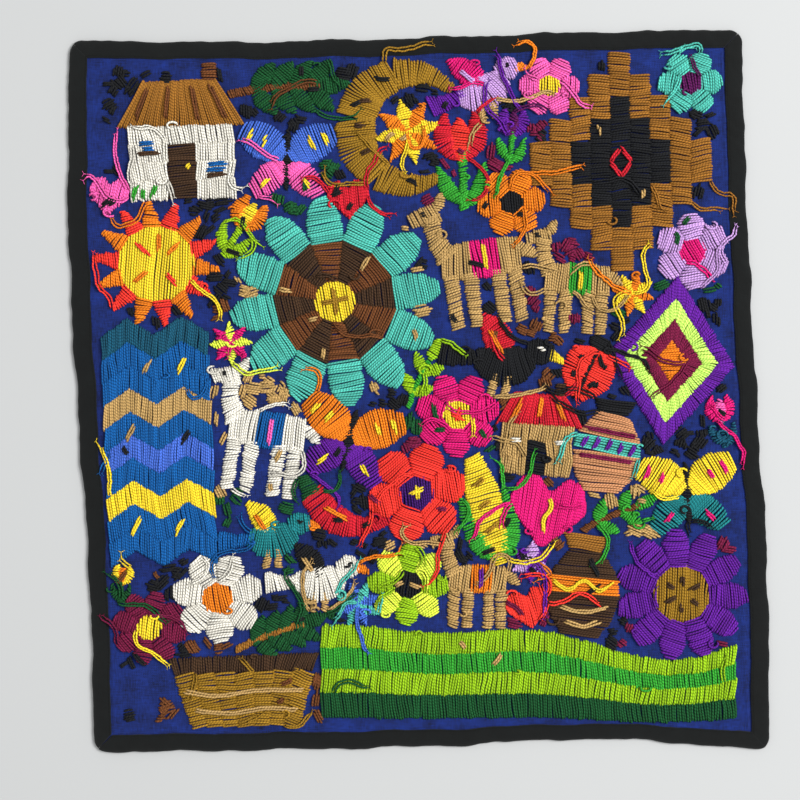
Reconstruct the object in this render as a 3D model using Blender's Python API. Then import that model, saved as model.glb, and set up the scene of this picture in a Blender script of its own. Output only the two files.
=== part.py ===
"""An embroidered wall textile, lying flat: a blue cotton ground, satin-stitched yarn motifs
raised on it, and a folded black cotton binding with mitred corners.

Design sizes are in millimetres. X runs across the textile, Y up it, and Z out of its face.
"""

import math

import bpy
from mathutils import Vector
from mathutils.geometry import delaunay_2d_cdt

MM = 0.001

# The finished outline: the start corner of each side before rounding, clockwise from the top left
CORNERS = {
    "top": (-244.1, 245.7),
    "right": (225.6, 253.4),
    "bottom": (245.2, -250.6),
    "left": (-226.6, -252.0),
}
# How far each side bows out of the straight line at a quarter, half and three quarters of its length
BOWS = {
    "top": (-3.0, -2.3, -0.3),
    "right": (-1.2, 0.4, 3.2),
    "bottom": (-8.4, -3.8, -1.4),
    "left": (-0.8, 3.4, 5.2),
}
CORNER_RADIUS = 9.5
EDGE_RIPPLE = 0.7

# The black strip that is folded over each side: its width on the face, the thickness of each leg,
# and how deep the fold itself is
BINDING_WIDTH = 12.6
BINDING_WALL = 1.0
BINDING_FOLD = 2.0
BINDING_STEP = 29.0
MITRE_GAP = 0.22
# The inner edge of a side bows a little less than its outer edge
INNER_BOW = 0.8
PIECE_GAP = 0.3

# The ground cloth lies on the floor, but its edges are held up inside the folded binding
CLOTH_THICKNESS = 1.0
CLOTH_CELL = 28.0
CLOTH_LIFT = BINDING_WALL + PIECE_GAP
LIFT_FLAT = 27.0
LIFT_FADE = 62.0
PUCKER_HEIGHT = 0.9
PUCKER_LENGTHS = (38.0, 34.0)

# A stitched motif stands on the cloth: low at its rim and between blocks, high along a block's middle
STITCH_GAP = 0.36
STITCH_RIM = 0.7
STITCH_VALLEY = 1.0
STITCH_CROWN = 2.2
LEAST_WIDTH = 0.9
CROWN_LEAST_WIDTH = 4.0
CROWN_INSET = 3.0
# Corners of neighbouring blocks this close are one corner
WELD = 0.3

COLOURS = {
    "ground_blue": "263A90",
    "binding_black": "1C2021",
    "white": "EFEBE0",
    "black": "17181B",
    "tan": "C79E57",
    "ochre": "A5691F",
    "olive_gold": "A9791C",
    "brown": "6E3F1E",
    "dark_brown": "4A3320",
    "peach": "CB8C5F",
    "lime": "A4D415",
    "pale_lime": "C4F06A",
    "neon_yellow": "E2F54A",
    "yellow": "F5CF1D",
    "orange": "F5831F",
    "scarlet": "F2352B",
    "red": "C41B2C",
    "burgundy": "74143C",
    "plum": "561050",
    "hot_pink": "EA1A80",
    "pink": "F45BAC",
    "lilac": "CD9DE0",
    "purple": "7A20B4",
    "dark_purple": "381060",
    "bright_blue": "1A6CC0",
    "cornflower": "4F78E6",
    "dark_teal": "14506A",
    "teal": "1B7C80",
    "turquoise": "4FC6B2",
    "green": "35A030",
    "dark_green": "15592A",
}
ROUGHNESS = 0.9

# How wide a block is at its stations from end to end, as shares of its full width
PROFILES = {
    "bar": (1.0, 1.0),
    "oval": (0.42, 1.0, 1.0, 0.42),
    "leaf": (0.0, 1.0, 0.0),
    "drop": (0.35, 1.0, 0.5),
    "wedge": (1.0, 0.3),
    "kite": (0.0, 1.0, 0.0),
}


# Satin-stitched blocks, in unit sizes that place() scales


def strip(colour, line, width, shape="bar"):
    """Stitches run across a line, as wide as the shape's profile says."""
    return {"colour": colour, "line": line, "widths": [width * share for share in PROFILES[shape]]}


def taper(colour, line, widths):
    """Stitches run across a line, with a width of its own at each station."""
    return {"colour": colour, "line": line, "widths": widths}


def patch(colour, first, second):
    """Stitches run from the first edge to the second."""
    return {"colour": colour, "edges": (first, second)}


def disc(colour, radius, sides, start=0.0):
    """A round of parallel stitches, with corners that the blocks round it share."""
    corners = [polar(radius, start + 360.0 * (k + 0.5) / sides) for k in range(sides)]
    return {"colour": colour, "round": corners}


def polar(radius, degrees):
    angle = math.radians(degrees)
    return (radius * math.cos(angle), radius * math.sin(angle))


def ring_petals(colours, count, inner, outer, fat, tip, start=0.0):
    """Petals that grow from the sides of a many-sided shape with its corners at the inner radius."""
    blocks = []
    base = 2 * inner * math.sin(math.pi / count)
    for k in range(count):
        degrees = start + 360.0 * k / count
        line = [polar(inner * math.cos(math.pi / count), degrees), polar(outer, degrees)]
        blocks.append(taper(colours[k % len(colours)], line, [base, fat, tip]))
    return blocks


def flower(petal_colours, core_colour, petals=8, core=0.18, fat=1.0, start=0.0):
    width = fat * 2.05 / petals
    blocks = ring_petals(petal_colours, petals, core, 0.5, width, width * 0.6, start)
    return blocks + [disc(core_colour, core, petals, start)]


def rosette(outer, inner, core_colour, petals=12):
    blocks = [disc(core_colour, 0.1, petals)]
    for k in range(petals):
        sides = [[polar(r, 360.0 * (k + turn) / petals) for r in (0.1, 0.3)] for turn in (-0.5, 0.5)]
        blocks.append(patch(inner[k % len(inner)], *sides))
    return blocks + ring_petals([outer], petals, 0.3, 0.5, 0.16, 0.07)


def star(colours, points=8):
    blocks = []
    for k in range(points):
        degrees = 90.0 + 360.0 * k / points
        width = math.tan(math.pi / points) * 0.56
        line = [polar(-0.03, degrees), polar(0.5, degrees)]
        blocks.append(strip(colours[k % len(colours)], line, width, "kite"))
    return blocks


def sun(core_colour, ray_colours, rays=14):
    return ring_petals(ray_colours, rays, 0.3, 0.5, 0.085, 0.02) + [disc(core_colour, 0.3, rays)]


def sprig(leaf_colour, stem_colour, pairs=4, spread=48.0):
    blocks = []
    for k in range(pairs):
        x = -0.3 + 0.62 * k / pairs
        for side in (-1, 1):
            dx, dy = polar(0.28, spread * side)
            blocks.append(strip(leaf_colour, [(x, 0.0), (x + dx, dy)], 0.13, "leaf"))
    blocks.append(strip(leaf_colour, [(0.2, 0.0), (0.5, 0.01)], 0.13, "leaf"))
    return blocks + [strip(stem_colour, [(-0.5, -0.03), (-0.15, 0.01), (0.26, 0.0)], 0.05)]


def tulip(cup_colour, edge_colour, leaf_colour):
    return [
        strip(leaf_colour, [(0.0, -0.5), (0.01, 0.1)], 0.07),
        strip(leaf_colour, [(0.01, -0.46), (0.16, -0.3), (0.24, -0.02)], 0.14, "leaf"),
        strip(leaf_colour, [(-0.01, -0.44), (-0.16, -0.26), (-0.25, -0.04)], 0.14, "leaf"),
        strip(edge_colour, [(-0.05, 0.02), (-0.17, 0.24), (-0.15, 0.5)], 0.19, "leaf"),
        strip(edge_colour, [(0.05, 0.02), (0.17, 0.24), (0.15, 0.5)], 0.19, "leaf"),
        strip(cup_colour, [(0.0, 0.0), (0.0, 0.44)], 0.24, "leaf"),
    ]


def bird(body, wing, tail, head, beak="orange", leg="tan"):
    return [
        taper(tail, [(-0.14, 0.02), (-0.32, -0.03), (-0.5, -0.04)], [0.09, 0.12, 0.2]),
        strip(leg, [(0.0, -0.1), (-0.02, -0.3)], 0.05),
        strip(leg, [(0.1, -0.1), (0.1, -0.29)], 0.05),
        strip(body, [(-0.2, 0.0), (0.05, -0.02), (0.27, 0.08)], 0.32, "oval"),
        strip(head, [(0.2, 0.15), (0.42, 0.17)], 0.2, "oval"),
        strip(beak, [(0.39, 0.16), (0.52, 0.12)], 0.09, "wedge"),
        strip(wing, [(0.06, 0.02), (-0.06, 0.2), (-0.22, 0.36)], 0.22, "leaf"),
    ]


def butterfly(upper, lower, body):
    blocks = []
    for side in (-1, 1):
        above = [(0.03 * side, 0.03), (0.2 * side, 0.16), (0.46 * side, 0.3)]
        below = [(0.03 * side, -0.03), (0.14 * side, -0.14), (0.34 * side, -0.33)]
        blocks.append(strip(upper, above, 0.34, "drop"))
        blocks.append(strip(lower, below, 0.26, "drop"))
    return blocks + [strip(body, [(0.0, -0.28), (0.0, 0.3)], 0.1, "leaf")]


def llama(coat, blanket):
    legs = [taper(coat, [(x, -0.08), (x, -0.5)], [0.1, 0.08]) for x in (-0.22, -0.07, 0.15, 0.28)]
    return legs + [
        taper(coat, [(-0.22, 0.06), (-0.3, 0.22), (-0.31, 0.4)], [0.17, 0.12, 0.11]),
        taper(coat, [(-0.48, 0.38), (-0.25, 0.43)], [0.09, 0.14]),
        strip(coat, [(-0.27, 0.42), (-0.2, 0.57)], 0.07, "leaf"),
        strip(coat, [(0.32, 0.1), (0.46, -0.02)], 0.09, "leaf"),
        taper(coat, [(-0.28, 0.02), (-0.05, 0.02)], [0.22, 0.28]),
        taper(blanket, [(-0.05, 0.02), (0.17, 0.02)], [0.28, 0.28]),
        taper(coat, [(0.17, 0.02), (0.34, 0.02)], [0.28, 0.24]),
    ]


def house(wall, roof, door, chimney, rows=3):
    blocks = []
    height = 0.58 / rows
    for k in range(rows):
        y = -0.5 + height * (k + 0.5)
        if k < rows - 1:
            blocks.append(strip(wall, [(-0.42, y), (-0.11, y)], height))
            blocks.append(strip(wall, [(0.11, y), (0.42, y)], height))
        else:
            blocks.append(strip(wall, [(-0.42, y), (0.42, y)], height))
    top = 0.58 * (rows - 1) / rows - 0.5
    blocks.append(strip(door, [(0.0, -0.5), (0.0, top)], 0.22))
    blocks.append(strip(chimney, [(0.24, 0.43), (0.24, 0.57)], 0.1))
    blocks.append(patch(roof, [(-0.5, 0.08), (0.5, 0.08)], [(-0.3, 0.43), (0.3, 0.43)]))
    return blocks


def pot(body, band, mouth):
    return [
        taper(body, [(0.0, -0.5), (0.0, -0.08)], [0.34, 0.62, 0.7]),
        taper(band, [(0.0, -0.08), (0.0, 0.08)], [0.7, 0.66]),
        taper(body, [(0.0, 0.08), (0.0, 0.34)], [0.66, 0.5, 0.3]),
        taper(mouth, [(0.0, 0.34), (0.0, 0.5)], [0.3, 0.44]),
    ]


def heart(colour):
    half_top = [(0.5, 0.1), (0.4, 0.33), (0.2, 0.4)]
    half_foot = [(0.5, 0.02), (0.38, -0.14), (0.19, -0.33)]
    top, foot = ([(-x, y) for x, y in half] for half in (half_top, half_foot))
    upper = top + [(0.0, 0.22)] + half_top[::-1]
    lower = foot + [(0.0, -0.5)] + half_foot[::-1]
    return [patch(colour, upper, lower)]


def maize(cob, husk):
    return [
        strip(husk, [(-0.02, -0.46), (-0.15, -0.24), (-0.2, 0.16)], 0.16, "leaf"),
        strip(husk, [(0.02, -0.46), (0.15, -0.24), (0.2, 0.16)], 0.16, "leaf"),
        taper(cob, [(0.0, -0.5), (0.0, 0.5)], [0.12, 0.28, 0.28, 0.12]),
    ]


def chilli(skin, cap):
    return [
        taper(skin, [(-0.3, 0.16), (-0.06, -0.02), (0.2, -0.06), (0.5, 0.06)], [0.22, 0.26, 0.18, 0.05]),
        taper(cap, [(-0.42, 0.3), (-0.27, 0.13)], [0.08, 0.2]),
    ]


def beetle(shell, seam, head):
    blocks = []
    for side in (-1, 1):
        outside = [(-0.5, 0.1 * side), (-0.2, 0.36 * side), (0.16, 0.34 * side), (0.3, 0.12 * side)]
        inside = [(-0.5, 0.03 * side), (-0.2, 0.03 * side), (0.1, 0.03 * side), (0.3, 0.03 * side)]
        blocks.append(patch(shell, outside, inside))
    return blocks + [
        strip(seam, [(-0.5, 0.0), (0.3, 0.0)], 0.06),
        strip(head, [(0.3, 0.0), (0.5, 0.0)], 0.34, "oval"),
    ]


def crescent(colour, pieces=4):
    """A moon that opens to the right, in a few blocks along its arc."""
    blocks = []
    for k in range(pieces):
        stations = [(k + step / 2) / pieces for step in range(3)]
        line = [polar(0.37, 52.0 + 256.0 * s) for s in stations]
        blocks.append(taper(colour, line, [0.05 + 0.2 * math.sin(math.pi * s) for s in stations]))
    return blocks


def stepped_diamond(outer, inner, columns=9, step=1.0):
    """A stepped diamond of upright columns, with a smaller stepped diamond inside it."""
    blocks = []
    middle = columns // 2
    for k in range(columns):
        x = (k - middle) / columns
        rise = (middle + 1 - abs(k - middle)) * step / columns
        hollow = max(0, middle - 1 - abs(k - middle)) * step / columns
        if hollow > 0:
            blocks.append(strip(outer, [(x, hollow), (x, rise)], 1 / columns))
            blocks.append(strip(inner, [(x, -hollow), (x, hollow)], 1 / columns))
            blocks.append(strip(outer, [(x, -rise), (x, -hollow)], 1 / columns))
        else:
            blocks.append(strip(outer, [(x, -rise), (x, rise)], 1 / columns))
    return blocks


def nested_diamonds(colours, tall):
    """Diamond frames inside each other, each of four bars, round a filled diamond."""
    blocks = []
    frames = len(colours) - 1
    for k in range(frames):
        outer = 0.5 * (1 - k / len(colours))
        inner = 0.5 * (1 - (k + 1) / len(colours))
        for sx, sy in ((1, 1), (-1, 1), (-1, -1), (1, -1)):
            outside = [(outer * sx, 0.0), (0.0, outer * tall * sy)]
            inside = [(inner * sx, 0.0), (0.0, inner * tall * sy)]
            blocks.append(patch(colours[k], outside, inside))
    core = 0.5 / len(colours)
    blocks.append(strip(colours[-1], [(0.0, -core * tall), (0.0, core * tall)], 2 * core, "kite"))
    return blocks


def zigzag_rows(colours, tall, peaks=2, swing=0.16):
    """Rows of upright stitches that follow a zigzag, stacked from the bottom."""
    turns = 2 * peaks
    height = (tall - swing) / len(colours)

    def edge(level):
        base = level * height - tall / 2
        return [(k / turns - 0.5, base + swing * (k % 2)) for k in range(turns + 1)]

    return [patch(colour, edge(k), edge(k + 1)) for k, colour in enumerate(colours)]


def field_rows(colours, wide, heights):
    """Long rows of upright stitches over a rolling hill, stacked from the bottom."""
    stations = 12

    def edge(level):
        points = []
        for k in range(stations):
            share = k / (stations - 1)
            roll = 0.5 * math.sin(5.2 * share + 0.5) + 0.28 * math.sin(10.5 * share + 2.0)
            y = sum(heights[:level]) + roll * (4.5 + 4.2 * level) - 3.0 * (1 - share)
            points.append(((share - 0.5) * wide, y))
        return points

    return [patch(colour, edge(k), edge(k + 1)) for k, colour in enumerate(colours)]


def basket(side_colour, rim_colour, columns=7):
    blocks = []
    for k in range(columns):
        x = (k - (columns - 1) / 2) / columns
        blocks.append(taper(side_colour, [(x * 0.76, -0.25), (x, 0.14)], [0.76 / columns, 1.0 / columns]))
    return blocks + [patch(rim_colour, [(-0.5, 0.14), (0.5, 0.14)], [(-0.54, 0.25), (0.54, 0.25)])]


def design():
    """Every motif: its node, the x and y of its middle, its size, its turn in degrees, its blocks."""
    zigzags = ["bright_blue", "bright_blue", "yellow", "bright_blue", "cornflower", "bright_blue", "tan"]
    zigzags += ["bright_blue", "bright_blue", "dark_teal"]
    diamonds = ["purple", "pale_lime", "burgundy", "orange"]
    fields = ["dark_green", "lime", "green", "lime"]
    return [
        ("cottage", -166, 179, 88, 2, house("white", "ochre", "dark_brown", "brown", rows=4)),
        ("sprig_top", -90.5, 212.5, 85, 3, sprig("dark_green", "brown")),
        ("butterfly_top", -92, 161.5, 70, -2, butterfly("cornflower", "pink", "black")),
        ("crescent", -5.5, 184, 107, -9, crescent("olive_gold")),
        ("star_moon", -7.5, 182, 46, 14, star(["yellow", "orange"])),
        ("bird_top", 42, 209.5, 73, 13, bird("lilac", "hot_pink", "purple", "lilac")),
        ("tulip_top", 30, 161, 68, 3, tulip("scarlet", "red", "green")),
        ("stepped_diamond", 141, 160.5, 125, 1, stepped_diamond("ochre", "black", step=1.1)),
        ("bloom_north_west", 91, 213.5, 41, -2, flower(["pink"], "yellow", 6)),
        ("bloom_north_east", 189.5, 216, 43, 3, flower(["turquoise"], "plum", 6)),
        ("bloom_south_west", 64.5, 132.5, 46, 7, flower(["orange"], "black", 6)),
        ("bloom_south_east", 191, 98, 51, 33, flower(["lilac"], "hot_pink", 6)),
        ("sun", -183, 89.5, 88, -5, sun("yellow", ["orange", "scarlet"])),
        ("rosette", -58.5, 63, 143, 8, rosette("turquoise", ["dark_brown", "brown"], "yellow")),
        ("llama_north", 41, 91, 90, 8, llama("tan", "hot_pink")),
        ("llama_east", 108.5, 77.5, 73, -3, llama("tan", "green")),
        ("nested_diamonds", 176, 22, 88, -5, nested_diamonds(diamonds, 1.32)),
        ("bird_middle", 56.5, 21, 84, -13, bird("black", "red", "black", "black", "yellow")),
        ("beetle_east", 119.5, 17, 46, 65, beetle("scarlet", "black", "black")),
        ("house_middle", 83, -27.5, 60, -4, house("tan", "red", "black", "dark_brown")),
        ("bloom_middle", 27, -16, 57, 11, flower(["hot_pink"], "yellow", 7)),
        ("zigzag_rows", -181.5, -35, 75, 2.4, zigzag_rows(zigzags, 2.3)),
        ("llama_west", -109, -28, 87, -9, llama("white", "bright_blue")),
        ("butterfly_middle", -49, -35, 76, -14, butterfly("orange", "purple", "black")),
        ("poppy", -1.5, -70.5, 67, 13, flower(["scarlet"], "dark_purple", 6)),
        ("maize_middle", 47.5, -82, 79, 15, maize("yellow", "green")),
        ("heart_middle", 90, -81.5, 53, -10, heart("hot_pink")),
        ("butterfly_east", 187.5, -71.5, 72, 4, butterfly("yellow", "teal", "black")),
        ("pot_north", 132, -37.5, 66, -10, pot("peach", "turquoise", "black")),
        ("bird_west", -105, -102.5, 70, -1, bird("teal", "yellow", "bright_blue", "teal")),
        ("chilli_middle", -56.5, -86.5, 73, -12, chilli("red", "dark_green")),
        ("bloom_west", -7.5, -134.5, 55, -3, flower(["lime", "neon_yellow"], "black", 8)),
        ("llama_south", 39.5, -132, 66, -2, llama("tan", "orange")),
        ("sunflower", 183.5, -141, 89, -2, flower(["purple"], "olive_gold", 11, 0.22)),
        ("pot_south", 115, -135, 71, -4, pot("dark_brown", "orange", "ochre")),
        ("basket", -121.5, -209, 97, 2, basket("olive_gold", "dark_brown")),
        ("bloom_basket_left", -188, -164.5, 50, -12, flower(["burgundy"], "yellow", 8)),
        ("bloom_basket_right", -140.5, -144, 61, 16, flower(["white"], "orange", 7)),
        ("bird_south", -72, -132.5, 71, -3, bird("white", "black", "white", "white")),
        ("sprig_south", -96.5, -167.5, 68, 19, sprig("dark_green", "ochre")),
        ("field_rows", 76.5, -226, 1, 0, field_rows(fields, 290, [15, 14, 13, 13])),
        ("heart_north", -49, 136, 28, 4, heart("red")),
        ("bud_north", 65, 178.5, 39, -4, tulip("plum", "purple", "green")),
        ("bud_west", -125, 114.5, 46, -32, tulip("yellow", "orange", "lime")),
        ("star_west", -131.5, 34, 29, 4, star(["neon_yellow", "hot_pink"])),
        ("heart_west", -216, 138, 27, -7, heart("pink")),
        ("sprig_middle", 3, 13, 53, 63, sprig("lime", "green", 2)),
        ("star_east", 149.5, 68.5, 30, -14, star(["orange", "yellow"])),
        ("bud_east", 211.5, -21, 36, 8, tulip("pink", "hot_pink", "dark_teal")),
        ("sprig_east", 140.5, -84.5, 58, 22, sprig("green", "brown", 2)),
        ("star_south", -42.5, -148.5, 32, 20, star(["cornflower", "turquoise"])),
        ("heart_south", 76, -150, 29, 13, heart("scarlet")),
        ("star_middle", 79, -118.5, 29, -4, star(["lilac", "purple"], 6)),
        ("bud_south", -207.5, -134, 26, -8, tulip("orange", "yellow", "dark_green")),
    ]


# Shapes


def curve_point(points, t, smooth=True):
    """The point at t, from 0 to 1, of a smooth or straight-sided line through points."""
    spans = len(points) - 1
    k = min(int(t * spans), spans - 1)
    u = t * spans - k
    b, c = Vector(points[k]), Vector(points[k + 1])
    if not smooth or spans == 1:
        return b.lerp(c, u)
    a = Vector(points[k - 1]) if k > 0 else 2 * b - c
    d = Vector(points[k + 2]) if k + 2 <= spans else 2 * c - b
    return 0.5 * (2 * b + u * (c - a) + u * u * (2 * a - 5 * b + 4 * c - d) + u**3 * (3 * b - a - 3 * c + d))


def across(block, t):
    """The two ends of the stitch at t, in the motif's unit sizes."""
    if "edges" in block:
        return [curve_point(edge, t, False) for edge in block["edges"]]
    line = block["line"]
    ahead = curve_point(line, min(1.0, t + 0.02)) - curve_point(line, max(0.0, t - 0.02))
    half = curve_point([(width, 0.0) for width in block["widths"]], t, False).x / 2
    side = Vector((-ahead.y, ahead.x)).normalized() * half
    middle = curve_point(line, t)
    return [middle + side, middle - side]


def place(motif, point):
    """A point of a motif's unit sizes, on the textile in millimetres."""
    _, x, y, size, turn, _ = motif
    c, s = math.cos(math.radians(turn)), math.sin(math.radians(turn))
    return Vector((x + size * (c * point[0] - s * point[1]), y + size * (s * point[0] + c * point[1])))


def block_outline(motif, block):
    """A block's outline on the textile, anticlockwise, and the points of its crown with their heights."""
    if "round" in block:
        outline = [place(motif, corner) for corner in block["round"]]
        middle = sum(outline, Vector((0.0, 0.0))) / len(outline)
        return outline, [(middle, STITCH_CROWN)]
    if "edges" in block:
        count = len(block["edges"][0]) - 1
    else:
        count = max(len(block["line"]), len(block["widths"])) - 1
    first, second, middles = [], [], []
    for k in range(count + 1):
        left, right = (place(motif, end) for end in across(block, k / count))
        middle = (left + right) / 2
        middles.append(middle)
        if (left - right).length < LEAST_WIDTH:
            first.append(middle)
        else:
            first.append(left)
            second.append(right)
    outline = first + second[::-1]
    length = sum((b - a).length for a, b in zip(middles, middles[1:]))
    inset = CROWN_INSET / length
    stations = [k / count for k in range(1, count)]
    if inset < 0.25 / count:
        stations = [inset] + stations + [1 - inset]
    crowns = []
    for t in stations or [0.5]:
        left, right = (place(motif, end) for end in across(block, t))
        width = (left - right).length
        if width > CROWN_LEAST_WIDTH:
            crowns.append(((left + right) / 2, STITCH_CROWN * min(1.0, 0.55 + 0.05 * width)))
    return outline if signed_area(outline) > 0 else outline[::-1], crowns


# The cloth's lie


def side_names():
    return list(CORNERS)


def side_frame(name):
    """A side's start corner, direction, outward normal and length."""
    names = side_names()
    start = Vector(CORNERS[name])
    end = Vector(CORNERS[names[(names.index(name) + 1) % 4]])
    direction = (end - start).normalized()
    return start, direction, Vector((-direction.y, direction.x)), (end - start).length


def panel_middle():
    """The middle of the finished outline's box, which is the part's origin."""
    points = [p for name in side_names() for p, _ in side_sections(name)]
    xs, ys = [p.x for p in points], [p.y for p in points]
    return Vector(((min(xs) + max(xs)) / 2, (min(ys) + max(ys)) / 2))


def edge_distance(point):
    """How far inside the straight-sided outline a point lies."""
    return min(-(point - start).dot(normal) for start, _, normal, _ in map(side_frame, side_names()))


def smooth_step(t):
    t = max(0.0, min(1.0, t))
    return t * t * (3 - 2 * t)


def cloth_underside(point):
    """The cloth's height: held up by the binding at its edge, on the floor further in, and puckered."""
    inside = smooth_step((edge_distance(point) - LIFT_FLAT) / LIFT_FADE)
    long_x, long_y = PUCKER_LENGTHS
    wave = math.sin(point.x / long_x + 0.6) * math.sin(point.y / long_y + 1.1)
    return CLOTH_LIFT * (1 - inside) + PUCKER_HEIGHT * inside * max(0.0, wave) ** 2


# The binding


def bow(name, share):
    """How far a side leans out of its straight line, with the ripple of its folded edge."""
    quarter = [0.0, *BOWS[name], 0.0]
    lean = curve_point([(v, 0.0) for v in quarter], share).x
    phase = side_names().index(name) * 1.7
    ripple = math.sin(37.0 * share + phase) + 0.6 * math.sin(83.0 * share + 2.3 * phase)
    return lean + EDGE_RIPPLE * ripple * math.sin(math.pi * share) ** 0.5


def corner_points(name):
    """The rounded outer and the inner point of the mitre at a side's start corner."""
    names = side_names()
    start, _, normal, _ = side_frame(name)
    _, _, before, _ = side_frame(names[names.index(name) - 1])
    inward = -(normal + before) / (1 + normal.dot(before))
    return start + inward * CORNER_RADIUS * (1 - math.sqrt(0.5)), start + inward * BINDING_WIDTH


def side_sections(name):
    """The outer and inner point of each section of a side's binding, from mitre to mitre."""
    names = side_names()
    start, direction, normal, length = side_frame(name)
    radius = CORNER_RADIUS
    sections = [corner_points(name)]
    # The sections next to a mitre fan out, so that its rounded outer corner has two of them
    first, last = 1.25 * BINDING_WIDTH, length - 1.25 * BINDING_WIDTH
    steps = round((last - first) / BINDING_STEP)
    middle = [first + (last - first) * k / steps for k in range(steps + 1)]
    outer = [0.62 * radius, *middle, length - 0.62 * radius]
    inner = [1.1 * BINDING_WIDTH, *middle, length - 1.1 * BINDING_WIDTH]
    for along_outer, along_inner in zip(outer, inner):
        reach = max(0.0, radius - min(along_outer, length - along_outer))
        rounding = radius - math.sqrt(radius**2 - reach**2)
        lean_outer, lean_inner = bow(name, along_outer / length), bow(name, along_inner / length)
        outside = start + direction * along_outer + normal * (lean_outer - rounding)
        inside = start + direction * along_inner + normal * (INNER_BOW * lean_inner - BINDING_WIDTH)
        sections.append((outside, inside))
    sections.append(corner_points(names[(names.index(name) + 1) % 4]))
    return sections


def binding_profile(puff):
    """The folded strip's section: how far in from its outer edge, as a share, and how high."""
    fold = BINDING_FOLD / BINDING_WIDTH
    low, high = BINDING_WALL, BINDING_WALL + 2 * PIECE_GAP + CLOTH_THICKNESS
    top = high + BINDING_WALL
    return [
        (0.07, 0.0),
        (0.0, 0.3 * top),
        (0.0, 0.72 * top),
        (0.09, top + 0.5 * puff),
        (0.5, top + puff),
        (1.0, top),
        (1.0, high),
        (fold, high),
        (fold, low),
        (1.0, low),
        (1.0, 0.0),
    ]


def make_binding(name, origin):
    """One side's binding: the C-shaped section carried from mitre to mitre."""
    _, direction, _, _ = side_frame(name)
    sections = side_sections(name)
    rows = []
    for k, (outside, inside) in enumerate(sections):
        shift = MITRE_GAP * direction * (1 if k == 0 else -1 if k == len(sections) - 1 else 0)
        puff = 0.25 + 0.25 * math.sin(1.9 * k + len(name))
        row = []
        for share, z in binding_profile(puff):
            point = outside.lerp(inside, share) + shift - origin
            row.append((point.x, point.y, z))
        rows.append(row)
    sides = len(rows[0])
    points = [p for row in rows for p in row]
    faces = []
    for k in range(len(rows) - 1):
        for j in range(sides):
            a, b = k * sides + j, k * sides + (j + 1) % sides
            faces.append((a, b, b + sides, a + sides))
    faces.append(tuple(range(sides))[::-1])
    faces.append(tuple((len(rows) - 1) * sides + j for j in range(sides)))
    return make_object("binding_" + name, points, faces, ["binding_black"] * len(faces))


# Solids


def linear(channel):
    return channel / 12.92 if channel <= 0.04045 else ((channel + 0.055) / 1.055) ** 2.4


def cloth_material(name):
    material = bpy.data.materials.get(name)
    if material is None:
        material = bpy.data.materials.new(name)
        material.use_nodes = True
        shader = material.node_tree.nodes["Principled BSDF"]
        code = COLOURS[name]
        channels = [linear(int(code[k : k + 2], 16) / 255) for k in (0, 2, 4)]
        shader.inputs["Base Color"].default_value = (*channels, 1.0)
        shader.inputs["Roughness"].default_value = ROUGHNESS
        shader.inputs["Metallic"].default_value = 0.0
        material.diffuse_color = (*channels, 1.0)
    return material


def make_object(name, points, faces, face_colours):
    """A mesh object from points in millimetres, with a material for each of its colours."""
    mesh = bpy.data.meshes.new(name)
    mesh.from_pydata([Vector(p) * MM for p in points], [], faces)
    colours = list(dict.fromkeys(face_colours))
    for colour in colours:
        mesh.materials.append(cloth_material(colour))
    for face, colour in zip(mesh.polygons, face_colours):
        face.material_index = colours.index(colour)
    mesh.update()
    mesh.shade_smooth()
    mesh.set_sharp_from_angle(angle=math.radians(40))
    item = bpy.data.objects.new(name, mesh)
    bpy.context.scene.collection.objects.link(item)
    return item


def rim_of(triangles):
    """The edges on the outline of a set of triangles, each in its triangle's direction."""
    edges = {(t[k], t[(k + 1) % 3]) for t in triangles for k in range(3)}
    return sorted((a, b) for a, b in edges if (b, a) not in edges)


def signed_area(points):
    return sum(a.x * b.y - b.x * a.y for a, b in zip(points, points[1:] + points[:1])) / 2


def slab(name, flat, triangles, heights, origin, seat, face_colours):
    """A closed solid that follows the cloth's lie: a top of its own heights, an underside, and walls."""
    lows = [cloth_underside(p) + seat for p in flat]
    points = [(p.x - origin.x, p.y - origin.y, low + rise) for p, low, rise in zip(flat, lows, heights)]
    points += [(p.x - origin.x, p.y - origin.y, low) for p, low in zip(flat, lows)]
    count = len(flat)
    faces = [tuple(t) for t in triangles]
    faces += [(count + c, count + b, count + a) for a, b, c in triangles]
    rim = rim_of(triangles)
    faces += [(count + a, count + b, b, a) for a, b in rim]
    return make_object(name, points, faces, face_colours * 2 + face_colours[:1] * len(rim))


def shared_place(points, point):
    """Where a point stands in the list: neighbouring blocks share their corners."""
    for place_in_list, known in enumerate(points):
        if (known - point).length < WELD:
            return place_in_list
    points.append(point)
    return len(points) - 1


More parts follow.
